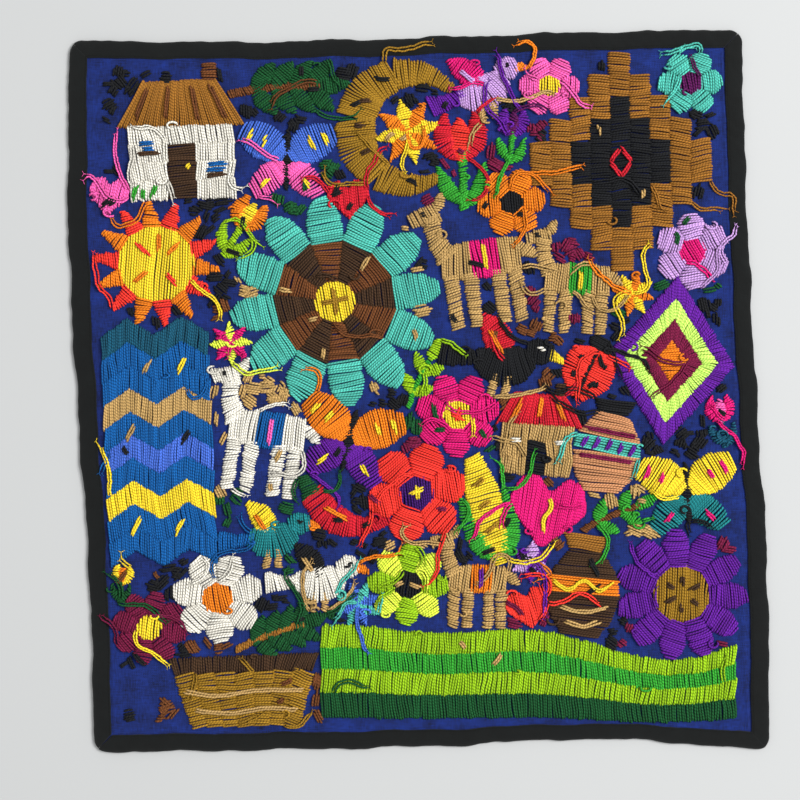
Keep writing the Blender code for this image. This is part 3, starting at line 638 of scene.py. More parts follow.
def binding_edges(name, outer, inner):
    """The points where a section's folded edge and its sewn edge lie."""
    start, direction, normal, length = SIDE_FRAMES[name]
    number = SIDES.index(name)
    reach = max(0.0, CORNER_RADIUS - min(outer, length - outer))
    rounding = CORNER_RADIUS - math.sqrt(CORNER_RADIUS**2 - reach**2)
    tremble = TREMBLE * noise.noise(Vector((outer / TREMBLE_RUN, number * 7.7, 0.0)))
    waver = WAVER * noise.noise(Vector((inner / WAVER_RUN, 3.1, number * 5.0)))
    lean = bow(name, outer / length) + tremble - rounding
    inset = INNER_BOW * bow(name, inner / length) - BINDING_WIDTH + waver
    return start + direction * outer + normal * lean, start + direction * inner + normal * inset


def face_pucker(point):
    """How the sewn cotton's face rises and falls: rounded puckers, and slanting ones over them."""
    size, (along, across_it) = ROUND_PUCKER_SIZE, SLANT_PUCKER_SIZES
    pucker = ROUND_PUCKER * noise.noise(Vector((point.x / size, point.y / size, 1.7)))
    slanting = Vector(((point.x + point.y) / along, (point.x - point.y) / across_it, 4.2))
    return pucker + SLANT_PUCKER * noise.noise(slanting)


def make_binding(name):
    """One folded strip: its section at every station, joined up and closed at both mitres."""
    _, direction, _, length = SIDE_FRAMES[name]
    stations = binding_stations(length)
    last = len(stations) - 1
    rows = []
    for k, (outer, inner) in enumerate(stations):
        outside, inside = binding_edges(name, outer, inner)
        shift = direction * MITRE_GAP * (1 if k == 0 else -1 if k == last else 0)
        roll = MITRE_ROLL.get(min(k, last - k), 0.0)
        row = []
        for width, height in BINDING_SECTION:
            point = outside.lerp(inside, width / BINDING_WIDTH) + shift
            upper = smooth_step((height - FACE_FROM) / FACE_FADE)
            pucker = face_pucker(point)
            if width == SEWN_AT and k % 2:
                pucker -= SEWN_DEPTH
            row.append(row_place(point, height + upper * (pucker - roll)))
        rows.append(row)
    sides = len(BINDING_SECTION)
    points = [p for row in rows for p in row]
    faces = []
    for k in range(len(rows) - 1):
        for j in range(sides):
            a, b = k * sides + j, k * sides + (j + 1) % sides
            faces.append((b, a, a + sides, b + sides))
    faces.append(tuple(range(sides)))
    faces.append(tuple((len(rows) - 1) * sides + j for j in reversed(range(sides))))
    mesh = bpy.data.meshes.new("binding_cotton_" + name)
    mesh.from_pydata(points, [], faces)
    mesh.shade_smooth()
    mesh.set_sharp_from_angle(angle=math.radians(75))
    finish = cottons["binding_cotton"]
    return add_object("binding_cotton_" + name, mesh, ["binding_" + name], finish)


for name in SIDES:
    strip_piece = make_binding(name)

# %% [markdown]
# Strands
#
# A strand is a tube along a line of points, six-sided and smoothly shaded. Two facts go into its mesh for
# the yarn's material: how many turns of the twist have gone by, with the way round, as a texture map, and
# one tone for the whole strand. Strands are collected first and become meshes at the end, one for each
# motif and colour, because thousands of separate objects would be slow.

# %% Collect strands, and turn a list of them into a mesh
SEED = 1973
YARN_RADIUS = 0.85
ROUND = 6
LOWEST = 0.06
strands = {}


def add_strand(key, points, radius=YARN_RADIUS, tone=0.5, end_shares=(0.5, 0.5), turn=0.0):
    """Keeps a strand for a (motif, colour): its line in millimetres, and how thin its two ends are."""
    line = np.array(points, float)
    radii = np.full(len(line), radius)
    radii[0] *= end_shares[0]
    radii[-1] *= end_shares[1]
    line[:, 2] = np.maximum(line[:, 2], radii + LOWEST)
    strands.setdefault(key, []).append((line, radii, tone, turn))


def strand_rings(line, radii):
    """The points round a strand: a ring of them at each point of its line."""
    ahead = np.gradient(line, axis=0)
    ahead /= np.linalg.norm(ahead, axis=1, keepdims=True)
    side = np.cross(ahead, (0.0, 0.0, 1.0))
    side /= np.linalg.norm(side, axis=1, keepdims=True)
    above = np.cross(side, ahead)
    angles = np.arange(ROUND) * math.tau / ROUND
    flat = side[:, None, :] * np.cos(angles)[None, :, None]
    tall = above[:, None, :] * np.sin(angles)[None, :, None]
    return line[:, None, :] + radii[:, None, None] * (flat + tall)


def strands_mesh(name, items):
    """One mesh of many strands, with the twist's texture map and each strand's tone."""
    points, tones, faces, maps = [], [], [], []
    first = 0
    for line, radii, tone, turn in items:
        rings = strand_rings(line, radii)
        count = len(line)
        points.append(rings.reshape(-1, 3))
        tones.append(np.full(count * ROUND, tone))
        steps = np.linalg.norm(np.diff(line, axis=0), axis=1)
        turns = turn + np.concatenate([[0.0], np.cumsum(steps)]) / TWIST_LENGTH
        for i in range(count - 1):
            for j in range(ROUND):
                a, b = first + i * ROUND + j, first + i * ROUND + (j + 1) % ROUND
                faces.append((a, b, b + ROUND, a + ROUND))
                near, far, low, high = turns[i], turns[i + 1], j / ROUND, (j + 1) / ROUND
                maps += (near, low, near, high, far, high, far, low)
        for i, order in ((0, range(ROUND - 1, -1, -1)), (count - 1, range(ROUND))):
            faces.append(tuple(first + i * ROUND + j for j in order))
            maps += (turns[i], 0.25) * ROUND
        first += count * ROUND
    place = np.concatenate(points)
    place[:, 0] -= ORIGIN.x
    place[:, 1] -= ORIGIN.y
    mesh = bpy.data.meshes.new(name)
    mesh.from_pydata((place * MM).tolist(), [], faces)
    mesh.uv_layers.new(name="strand").data.foreach_set("uv", maps)
    mesh.attributes.new("tone", "FLOAT", "POINT").data.foreach_set("value", np.concatenate(tones))
    mesh.shade_smooth()
    return mesh


# %% [markdown]
# Satin-stitched blocks
#
# A maker fills a shape in blocks: a bar, a leaf, a petal, each narrow enough for one stitch to cross. A
# block here says where its stitches start and end. It is a line with a width at each station, or a pair
# of edges, or a round. Sizes are in units of the motif, and place() turns and scales them.

# %% Kinds of block
PROFILES = {
    "bar": (1.0, 1.0),
    "oval": (0.45, 0.82, 1.0, 1.0, 0.82, 0.45),
    "leaf": (0.08, 0.62, 0.92, 1.0, 0.88, 0.56, 0.1),
    "drop": (0.3, 0.75, 1.0, 0.92, 0.5),
    "wedge": (1.0, 0.3),
    "kite": (0.0, 1.0, 0.0),
}


def strip(colour, line, width, shape="bar"):
    """Stitches run across a line, as wide as the shape's profile says."""
    widths = [width * share for share in PROFILES[shape]]
    return {"colour": colour, "line": line, "widths": widths, "smooth": shape != "kite"}


def taper(colour, line, widths):
    """Stitches run across a line, with a width of its own at each station."""
    return {"colour": colour, "line": line, "widths": widths, "smooth": True}


def patch(colour, first, second, smooth=True):
    """Stitches run from the first edge to the second."""
    return {"colour": colour, "edges": (first, second), "smooth": smooth}


def polar(radius, degrees):
    """The point at a radius and an angle."""
    angle = math.radians(degrees)
    return (radius * math.cos(angle), radius * math.sin(angle))


def disc(colour, radius):
    """A round of parallel stitches."""
    return {"colour": colour, "round": radius, "smooth": True}


def ring_petals(colours, count, inner, outer, fat, tip):
    """Petals that grow from the sides of a many-sided shape with its corners at the inner radius."""
    base = 2 * inner * math.sin(math.pi / count)
    pointed = tip < 0.4 * fat
    rounded = [base, (base + fat) / 2, fat, 0.5 * (fat + 1.35 * tip), 0.62 * tip]
    reach = (inner * math.cos(math.pi / count), outer + (0 if pointed else 0.015))
    blocks = []
    for k in range(count):
        line = [polar(radius, 360.0 * k / count) for radius in reach]
        blocks.append(taper(colours[k % len(colours)], line, [base, fat, tip] if pointed else rounded))
    return blocks


# %% [markdown]
# Motifs
#
# The textile carries everyday folk motifs: blooms, stars, birds, llamas, pots, maize, a cottage. Each is
# a function that returns its blocks, so one pattern serves for several sizes and colours, as it would for
# a maker who works the same flower in whatever yarn is left.


# %% Blooms, leaves and stars
def flower(petal_colours, core_colour, petals=8, core=0.18):
    width = 2.05 / petals
    blocks = ring_petals(petal_colours, petals, core, 0.5, width, width * 0.6)
    return blocks + [disc(core_colour, core)]


def rosette(outer, inner, core_colour, petals=12):
    blocks = [disc(core_colour, 0.1)]
    for k in range(petals):
        sides = [[polar(r, 360.0 * (k + turn) / petals) for r in (0.1, 0.3)] for turn in (-0.5, 0.5)]
        blocks.append(patch(inner[k % len(inner)], *sides))
    return blocks + ring_petals([outer], petals, 0.3, 0.5, 0.16, 0.07)


def star(colours, points=8):
    blocks = []
    for k in range(points):
        degrees = 90.0 + 360.0 * k / points
        width = math.tan(math.pi / points) * 0.56
        line = [polar(-0.03, degrees), polar(0.5, degrees)]
        blocks.append(strip(colours[k % len(colours)], line, width, "kite"))
    return blocks


def sun(core_colour, ray_colours, rays=14):
    return ring_petals(ray_colours, rays, 0.3, 0.5, 0.085, 0.02) + [disc(core_colour, 0.3)]


def sprig(leaf_colour, stem_colour, pairs=4, spread=48.0):
    blocks = []
    for k in range(pairs):
        x = -0.3 + 0.62 * k / pairs
        for side in (-1, 1):
            dx, dy = polar(0.28, spread * side)
            blocks.append(strip(leaf_colour, [(x, 0.0), (x + dx, dy)], 0.13, "leaf"))
    blocks.append(strip(leaf_colour, [(0.2, 0.0), (0.5, 0.01)], 0.13, "leaf"))
    return blocks + [strip(stem_colour, [(-0.5, -0.03), (-0.15, 0.01), (0.26, 0.0)], 0.05)]


def tulip(cup_colour, edge_colour, leaf_colour):
    return [
        strip(leaf_colour, [(0.0, -0.5), (0.01, 0.1)], 0.07),
        strip(leaf_colour, [(0.01, -0.46), (0.16, -0.3), (0.24, -0.02)], 0.14, "leaf"),
        strip(leaf_colour, [(-0.01, -0.44), (-0.16, -0.26), (-0.25, -0.04)], 0.14, "leaf"),
        strip(edge_colour, [(-0.05, 0.02), (-0.17, 0.24), (-0.15, 0.5)], 0.19, "leaf"),
        strip(edge_colour, [(0.05, 0.02), (0.17, 0.24), (0.15, 0.5)], 0.19, "leaf"),
        strip(cup_colour, [(0.0, 0.0), (0.0, 0.44)], 0.24, "leaf"),
    ]


def heart(colour):
    half_top = [(0.5, 0.1), (0.4, 0.33), (0.2, 0.4)]
    half_foot = [(0.5, 0.02), (0.38, -0.14), (0.19, -0.33)]
    top, foot = ([(-x, y) for x, y in half] for half in (half_top, half_foot))
    upper = top + [(0.0, 0.22)] + half_top[::-1]
    lower = foot + [(0.0, -0.5)] + half_foot[::-1]
    return [patch(colour, upper, lower)]


def crescent(colour, pieces=4):
    """A moon that opens to the right, in a few blocks along its arc."""
    blocks = []
    for k in range(pieces):
        stations = [(k + step / 2) / pieces for step in range(3)]
        line = [polar(0.37, 52.0 + 256.0 * s) for s in stations]
        blocks.append(taper(colour, line, [0.05 + 0.2 * math.sin(math.pi * s) for s in stations]))
    return blocks


# %% Birds, butterflies, llamas and beetles
def bird(body, wing, tail, head, beak="orange", leg="tan"):
    return [
        taper(tail, [(-0.14, 0.02), (-0.32, -0.03), (-0.5, -0.04)], [0.09, 0.12, 0.2]),
        strip(leg, [(0.0, -0.1), (-0.02, -0.3)], 0.05),
        strip(leg, [(0.1, -0.1), (0.1, -0.29)], 0.05),
        strip(body, [(-0.2, 0.0), (0.05, -0.02), (0.27, 0.08)], 0.32, "oval"),
        strip(head, [(0.2, 0.15), (0.42, 0.17)], 0.2, "oval"),
        strip(beak, [(0.39, 0.16), (0.52, 0.12)], 0.09, "wedge"),
        strip(wing, [(0.06, 0.02), (-0.06, 0.2), (-0.22, 0.36)], 0.22, "leaf"),
    ]


def butterfly(upper, lower, body):
    blocks = []
    for side in (-1, 1):
        above = [(0.03 * side, 0.03), (0.2 * side, 0.16), (0.46 * side, 0.3)]
        below = [(0.03 * side, -0.03), (0.14 * side, -0.14), (0.34 * side, -0.33)]
        blocks.append(strip(upper, above, 0.34, "drop"))
        blocks.append(strip(lower, below, 0.26, "drop"))
    return blocks + [strip(body, [(0.0, -0.28), (0.0, 0.3)], 0.1, "leaf")]


def llama(coat, blanket):
    legs = [taper(coat, [(x, -0.08), (x, -0.5)], [0.1, 0.08]) for x in (-0.22, -0.07, 0.15, 0.28)]
    return legs + [
        taper(coat, [(-0.22, 0.06), (-0.3, 0.22), (-0.31, 0.4)], [0.17, 0.12, 0.11]),
        taper(coat, [(-0.48, 0.38), (-0.25, 0.43)], [0.09, 0.14]),
        strip(coat, [(-0.27, 0.42), (-0.2, 0.57)], 0.07, "leaf"),
        strip(coat, [(0.32, 0.1), (0.46, -0.02)], 0.09, "leaf"),
        taper(coat, [(-0.28, 0.02), (-0.05, 0.02)], [0.22, 0.28]),
        taper(blanket, [(-0.05, 0.02), (0.17, 0.02)], [0.28, 0.28]),
        taper(coat, [(0.17, 0.02), (0.34, 0.02)], [0.28, 0.24]),
    ]


def beetle(shell, seam, head):
    blocks = []
    for side in (-1, 1):
        outside = [(-0.5, 0.1 * side), (-0.2, 0.36 * side), (0.16, 0.34 * side), (0.3, 0.12 * side)]
        inside = [(-0.5, 0.03 * side), (-0.2, 0.03 * side), (0.1, 0.03 * side), (0.3, 0.03 * side)]
        blocks.append(patch(shell, outside, inside))
    return blocks + [
        strip(seam, [(-0.5, 0.0), (0.3, 0.0)], 0.06),
        strip(head, [(0.3, 0.0), (0.5, 0.0)], 0.34, "oval"),
    ]


# %% Houses, pots, baskets and food
def house(wall, roof, door, chimney, rows=3):
    blocks = []
    height = 0.58 / rows
    for k in range(rows):
        y = -0.5 + height * (k + 0.5)
        if k < rows - 1:
            blocks.append(strip(wall, [(-0.42, y), (-0.11, y)], height))
            blocks.append(strip(wall, [(0.11, y), (0.42, y)], height))
        else:
            blocks.append(strip(wall, [(-0.42, y), (0.42, y)], height))
    top = 0.58 * (rows - 1) / rows - 0.5
    blocks.append(strip(door, [(0.0, -0.5), (0.0, top)], 0.22))
    blocks.append(strip(chimney, [(0.24, 0.43), (0.24, 0.57)], 0.1))
    blocks.append(patch(roof, [(-0.5, 0.08), (0.5, 0.08)], [(-0.3, 0.43), (0.3, 0.43)]))
    return blocks


def pot(body, band, mouth):
    return [
        taper(body, [(0.0, -0.5), (0.0, -0.08)], [0.34, 0.62, 0.7]),
        taper(band, [(0.0, -0.08), (0.0, 0.08)], [0.7, 0.66]),
        taper(body, [(0.0, 0.08), (0.0, 0.34)], [0.66, 0.5, 0.3]),
        taper(mouth, [(0.0, 0.34), (0.0, 0.5)], [0.3, 0.44]),
    ]


def basket(side_colour, rim_colour, columns=7):
    blocks = []
    for k in range(columns):
        x = (k - (columns - 1) / 2) / columns
        blocks.append(taper(side_colour, [(x * 0.76, -0.25), (x, 0.14)], [0.76 / columns, 1.0 / columns]))
    return blocks + [patch(rim_colour, [(-0.5, 0.14), (0.5, 0.14)], [(-0.54, 0.25), (0.54, 0.25)])]


def maize(cob, husk):
    return [
        strip(husk, [(-0.02, -0.46), (-0.15, -0.24), (-0.2, 0.16)], 0.16, "leaf"),
        strip(husk, [(0.02, -0.46), (0.15, -0.24), (0.2, 0.16)], 0.16, "leaf"),
        taper(cob, [(0.0, -0.5), (0.0, 0.5)], [0.12, 0.28, 0.28, 0.12]),
    ]


def chilli(skin, cap):
    return [
        taper(skin, [(-0.3, 0.16), (-0.06, -0.02), (0.2, -0.06), (0.5, 0.06)], [0.22, 0.26, 0.18, 0.05]),
        taper(cap, [(-0.42, 0.3), (-0.27, 0.13)], [0.08, 0.2]),
    ]


# %% Diamonds, zigzags and fields
def stepped_diamond(outer, inner, columns=9, step=1.0):
    """A stepped diamond of upright columns, with a smaller stepped diamond inside it."""
    blocks = []
    middle = columns // 2
    for k in range(columns):
        x = (k - middle) / columns
        rise = (middle + 1 - abs(k - middle)) * step / columns
        hollow = max(0, middle - 1 - abs(k - middle)) * step / columns
        if hollow > 0:
            blocks.append(strip(outer, [(x, hollow), (x, rise)], 1 / columns))
            blocks.append(strip(inner, [(x, -hollow), (x, hollow)], 1 / columns))
            blocks.append(strip(outer, [(x, -rise), (x, -hollow)], 1 / columns))
        else:
            blocks.append(strip(outer, [(x, -rise), (x, rise)], 1 / columns))
    return blocks


def nested_diamonds(colours, tall):
    """Diamond frames inside each other, each of four bars, round a filled diamond."""
    blocks = []
    frames = len(colours) - 1
    for k in range(frames):
        outer = 0.5 * (1 - k / len(colours))
        inner = 0.5 * (1 - (k + 1) / len(colours))
        for sx, sy in ((1, 1), (-1, 1), (-1, -1), (1, -1)):
            outside = [(outer * sx, 0.0), (0.0, outer * tall * sy)]
            inside = [(inner * sx, 0.0), (0.0, inner * tall * sy)]
            blocks.append(patch(colours[k], outside, inside))
    core = 0.5 / len(colours)
    blocks.append(strip(colours[-1], [(0.0, -core * tall), (0.0, core * tall)], 2 * core, "kite"))
    return blocks


def zigzag_rows(colours, tall, peaks=2, swing=0.16):
    """Rows of upright stitches that follow a zigzag, stacked from the bottom."""
    turns = 2 * peaks
    height = (tall - swing) / len(colours)

    def edge(level):
        base = level * height - tall / 2
        return [(k / turns - 0.5, base + swing * (k % 2)) for k in range(turns + 1)]

    return [patch(colour, edge(k), edge(k + 1), smooth=False) for k, colour in enumerate(colours)]


def field_rows(colours, wide, heights):
    """Long rows of upright stitches over a rolling hill, stacked from the bottom."""
    stations = 12

    def edge(level):
        points = []
        for k in range(stations):
            share = k / (stations - 1)
            roll = 0.5 * math.sin(5.2 * share + 0.5) + 0.28 * math.sin(10.5 * share + 2.0)
            y = sum(heights[:level]) + roll * (4.5 + 4.2 * level) - 3.0 * (1 - share)
            points.append(((share - 0.5) * wide, y))
        return points

    return [patch(colour, edge(k), edge(k + 1)) for k, colour in enumerate(colours)]


# %% [markdown]
# The layout
#
# One line for each motif: its node in the model, where its middle is on the textile in millimetres, its
# size, its turn in degrees, and its blocks. It is the model's own table, so every motif's stitches lie on
# the solid that stands for it.


# %% Where each motif lies
def design():
    zigzags = ["bright_blue", "bright_blue", "yellow", "bright_blue", "cornflower", "bright_blue", "tan"]
    zigzags += ["bright_blue", "bright_blue", "dark_teal"]
    diamonds = ["purple", "pale_lime", "burgundy", "orange"]
    fields = ["dark_green", "lime", "green", "lime"]
    return [
        ("cottage", -166, 179, 88, 2, house("white", "ochre", "dark_brown", "brown", rows=4)),
        ("sprig_top", -90.5, 212.5, 85, 3, sprig("dark_green", "brown")),
        ("butterfly_top", -92, 161.5, 70, -2, butterfly("cornflower", "pink", "black")),
        ("crescent", -5.5, 184, 107, -9, crescent("olive_gold")),
        ("star_moon", -7.5, 182, 46, 14, star(["yellow", "orange"])),
        ("bird_top", 42, 209.5, 73, 13, bird("lilac", "hot_pink", "purple", "lilac")),
        ("tulip_top", 30, 161, 68, 3, tulip("scarlet", "red", "green")),
        ("stepped_diamond", 141, 160.5, 125, 1, stepped_diamond("ochre", "black", step=1.1)),
        ("bloom_north_west", 91, 213.5, 41, -2, flower(["pink"], "yellow", 6)),
        ("bloom_north_east", 189.5, 216, 43, 3, flower(["turquoise"], "plum", 6)),
        ("bloom_south_west", 64.5, 132.5, 46, 7, flower(["orange"], "black", 6)),
        ("bloom_south_east", 191, 98, 51, 33, flower(["lilac"], "hot_pink", 6)),
        ("sun", -183, 89.5, 88, -5, sun("yellow", ["orange", "scarlet"])),
        ("rosette", -58.5, 63, 143, 8, rosette("turquoise", ["dark_brown", "brown"], "yellow")),
        ("llama_north", 41, 91, 90, 8, llama("tan", "hot_pink")),
        ("llama_east", 108.5, 77.5, 73, -3, llama("tan", "green")),
        ("nested_diamonds", 176, 22, 88, -5, nested_diamonds(diamonds, 1.32)),
        ("bird_middle", 56.5, 21, 84, -13, bird("black", "red", "black", "black", "yellow")),
        ("beetle_east", 119.5, 17, 46, 65, beetle("scarlet", "black", "black")),
        ("house_middle", 83, -27.5, 60, -4, house("tan", "red", "black", "dark_brown")),
        ("bloom_middle", 27, -16, 57, 11, flower(["hot_pink"], "yellow", 7)),
        ("zigzag_rows", -181.5, -35, 75, 2.4, zigzag_rows(zigzags, 2.3)),
        ("llama_west", -109, -28, 87, -9, llama("white", "bright_blue")),
        ("butterfly_middle", -49, -35, 76, -14, butterfly("orange", "purple", "black")),
        ("poppy", -1.5, -70.5, 67, 13, flower(["scarlet"], "dark_purple", 6)),
        ("maize_middle", 47.5, -82, 79, 15, maize("yellow", "green")),
        ("heart_middle", 90, -81.5, 53, -10, heart("hot_pink")),
        ("butterfly_east", 187.5, -71.5, 72, 4, butterfly("yellow", "teal", "black")),
        ("pot_north", 132, -37.5, 66, -10, pot("peach", "turquoise", "black")),
        ("bird_west", -105, -102.5, 70, -1, bird("teal", "yellow", "bright_blue", "teal")),
        ("chilli_middle", -56.5, -86.5, 73, -12, chilli("red", "dark_green")),
        ("bloom_west", -7.5, -134.5, 55, -3, flower(["lime", "neon_yellow"], "black", 8)),
        ("llama_south", 39.5, -132, 66, -2, llama("tan", "orange")),
        ("sunflower", 183.5, -141, 89, -2, flower(["purple"], "olive_gold", 11, 0.22)),
        ("pot_south", 115, -135, 71, -4, pot("dark_brown", "orange", "ochre")),
        ("basket", -121.5, -209, 97, 2, basket("olive_gold", "dark_brown")),
        ("bloom_basket_left", -188, -164.5, 50, -12, flower(["burgundy"], "yellow", 8)),
        ("bloom_basket_right", -140.5, -144, 61, 16, flower(["white"], "orange", 7)),
        ("bird_south", -72, -132.5, 71, -3, bird("white", "black", "white", "white")),
        ("sprig_south", -96.5, -167.5, 68, 19, sprig("dark_green", "ochre")),
        ("field_rows", 76.5, -226, 1, 0, field_rows(fields, 290, [15, 14, 13, 13])),
        ("heart_north", -49, 136, 28, 4, heart("red")),
        ("bud_north", 65, 178.5, 39, -4, tulip("plum", "purple", "green")),
        ("bud_west", -125, 114.5, 46, -32, tulip("yellow", "orange", "lime")),
        ("star_west", -131.5, 34, 29, 4, star(["neon_yellow", "hot_pink"])),
        ("heart_west", -216, 138, 27, -7, heart("pink")),
        ("sprig_middle", 3, 13, 53, 63, sprig("lime", "green", 2)),
        ("star_east", 149.5, 68.5, 30, -14, star(["orange", "yellow"])),
        ("bud_east", 211.5, -21, 36, 8, tulip("pink", "hot_pink", "dark_teal")),
        ("sprig_east", 140.5, -84.5, 58, 22, sprig("green", "brown", 2)),
        ("star_south", -42.5, -148.5, 32, 20, star(["cornflower", "turquoise"])),
        ("heart_south", 76, -150, 29, 13, heart("scarlet")),
        ("star_middle", 79, -118.5, 29, -4, star(["lilac", "purple"], 6)),
        ("bud_south", -207.5, -134, 26, -8, tulip("orange", "yellow", "dark_green")),
    ]


MOTIFS = design()
missing = sorted(set(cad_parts) - {motif[0] for motif in MOTIFS} - {"ground_cloth"})
print("layout:", len(MOTIFS), "motifs; nodes besides them:", missing)

# %% [markdown]
# Laying the satin stitches
#
# Strands lie side by side so closely that they press on each other, in faint pairs, because the yarn was
# threaded double. A strand dips into the cloth at both ends and is padded up between them. Neighbours bend
# and lean together, as noise along the row says, the rim wanders by half a millimetre and more, and some
# strands ride higher. Without that unevenness the filling would look printed.

# %% Stitch every block
PITCH = 1.74
PAIR_SHIFT = 0.05
OVERSHOOT = 1.0
RIM_WANDER = 1.0
END_MISS = 0.3
DIP = 0.5
RISE = 2.1
LONGEST_SPAN = 5.0
BEND_LENGTH = 16.0
LEAST_STITCH = 1.4
RISE_SHARE, PART_WAY_UP = 0.42, 0.45
LEAST_TOP = 0.9
ARCH, ARCH_SHARE = 0.5, 0.02
FLAT_PADDING, ROUND_PADDING = 0.45, 0.6
LEAN = 1.2
PITCH_MISS, SLANT_MISS, LIFT_MISS = 0.05, 0.12, 0.22
SHORT_RUN = 4.0
CROWD, CROWD_LENGTH = 0.2, 5.0
SLANT, SLANT_LENGTH = 1.5, 11.0
RIM_LENGTH = 4.0
SWAYS, SWAY_LENGTH = (0.06, 0.04), 18.0
THICKNESS = (0.93, 1.07)


def across(block, t):
    """The two ends of the stitch at t, in the motif's unit sizes."""
    if "round" in block:
        x = block["round"] * (2 * t - 1)
        half_chord = math.sqrt(max(0.0, block["round"] ** 2 - x * x))
        return [Vector((x, half_chord)), Vector((x, -half_chord))]
    if "edges" in block:
        return [curve_point(edge, t, block["smooth"]) for edge in block["edges"]]
    line = block["line"]
    ahead = curve_point(line, min(1.0, t + 0.02)) - curve_point(line, max(0.0, t - 0.02))
    half_width = curve_point([(width, 0.0) for width in block["widths"]], t, block["smooth"]).x / 2
    side = Vector((-ahead.y, ahead.x)).normalized() * half_width
    middle = curve_point(line, t)
    return [middle + side, middle - side]


def place(motif, point):
    """A point of a motif's unit sizes, on the textile in millimetres."""
    _, x, y, size, turn, _ = motif
    c, s = math.cos(math.radians(turn)), math.sin(math.radians(turn))
    return Vector((x + size * (c * point[0] - s * point[1]), y + size * (s * point[0] + c * point[1])))


def block_run(motif, block):
    """How long the block's row of stitches is: its longest line, along its edges or its middle and flanks."""
    if "round" in block:
        return 2 * block["round"] * motif[3]
    steps = 16
    stitches = [[place(motif, end) for end in across(block, k / steps)] for k in range(steps + 1)]
    shares = (0.0, 1.0) if "edges" in block else (0.15, 0.5, 0.85)
    runs = [[a.lerp(b, share) for a, b in stitches] for share in shares]
    return max(sum((b - a).length for a, b in zip(run, run[1:])) for run in runs)


def stitch_line(a, b, padding, bows, lift):
    """A strand from a to b: it comes up out of the cloth, lies padded and a little bent, and goes down."""
    length = (b - a).length
    rise = min(RISE, RISE_SHARE * length)
    inner = max(0, math.ceil((length - 2 * rise) / LONGEST_SPAN) - 1)
    ends = [0.0, PART_WAY_UP * rise, rise]
    between = [rise + (length - 2 * rise) * (k + 1) / (inner + 1) for k in range(inner)]
    reach = ends + between + [length - e for e in reversed(ends)]
    if length - 2 * rise < LEAST_TOP:
        reach = [0.0, PART_WAY_UP * rise, length / 2, length - PART_WAY_UP * rise, length]
    side = Vector((a.y - b.y, b.x - a.x)).normalized()
    points = []
    for e in reach:
        near = min(e, length - e)
        share = e / length
        sway = bows[0] * math.sin(math.pi * share) + bows[1] * math.sin(2 * math.pi * share)
        point = a.lerp(b, share) + side * sway
        up = math.sin(math.pi / 2 * min(1.0, near / rise))
        arch = min(ARCH, ARCH_SHARE * length) * (1 - (2 * share - 1) ** 2)
        height = -DIP + (DIP + YARN_RADIUS + padding + lift) * up + arch
        points.append((point.x, point.y, cloth_height(point) + height))
    return points


def stitch_block(motif, block, rng):
    """Fills a block with strands side by side, past its rim by an overshoot that wanders."""
    run = block_run(motif, block)
    count = max(2, round(run / PITCH))
    lean = rng.uniform(-LEAN, LEAN)
    padding = ROUND_PADDING if "round" in block else FLAT_PADDING
    page = rng.uniform(0, 99)
    key = (motif[0], block["colour"])

    def drift(along, stretch, row):
        """Noise that neighbours share, from about -0.7 to 0.7."""
        return noise.noise(Vector((along / stretch, page, row)))

    for k in range(count):
        along = (k + 0.5) / count * run
        crowd = CROWD * drift(along, CROWD_LENGTH, 1.0) + (PAIR_SHIFT if k % 2 else -PAIR_SHIFT)
        t = (along + crowd + rng.normal(0, PITCH_MISS)) / run
        slant = lean + SLANT * drift(along, SLANT_LENGTH, 2.0)
        shifts = [(slant * way + rng.normal(0, SLANT_MISS)) / max(run, SHORT_RUN) for way in (-1, 1)]
        shares = [max(0.0, min(1.0, t + shift)) for shift in shifts]
        a = place(motif, across(block, shares[0])[0])
        b = place(motif, across(block, shares[1])[1])
        ahead = (b - a).normalized() if (b - a).length > 0.01 else Vector((1.0, 0.0))
        rims = [RIM_WANDER * drift(along, RIM_LENGTH, 3.0 + way) for way in (1, 2)]
        past = [OVERSHOOT + rim + rng.normal(0, END_MISS) for rim in rims]
        if (b - a).length + sum(past) < LEAST_STITCH:
            past = [LEAST_STITCH / 2, LEAST_STITCH / 2]
        a, b = a - ahead * past[0], b + ahead * past[1]
        bent = min(BEND_LENGTH, (b - a).length)
        bows = [SWAYS[way] * bent * drift(along, SWAY_LENGTH, 6.0 + way) for way in (0, 1)]
        bows[0] += rng.normal(0, 0.1 + 0.005 * bent)
        line = stitch_line(a, b, padding, bows, abs(rng.normal(0, LIFT_MISS)))
        radius = YARN_RADIUS * rng.uniform(*THICKNESS)
        add_strand(key, line, radius, rng.uniform(0, 1), turn=rng.uniform(0, 1))


for number, motif in enumerate(MOTIFS):
    for order, block in enumerate(motif[-1]):
        stitch_block(motif, block, np.random.default_rng([SEED, number, order]))
print("stitches:", sum(len(items) for items in strands.values()), "strands in", len(strands), "groups")

# %% [markdown]
# How high the work stands
#
# Yarn that is laid over other yarn has to rest on it. A map of heights, one value for each millimetre of
# the textile, is filled from the cloth, the binding and every strand so far. A strand on top asks for the
# highest value near it, and lies that high.

# %% A map of heights
MAP_HALF = 262
MAP_BLOCK = 4
BINDING_TOP = 3.95
STRAND_SAMPLE = 0.6
REST_SHARE = 0.72
HELD_DROPS = (2.0, 0.35)
HELD_END, FREE_END = 0.45, 0.6


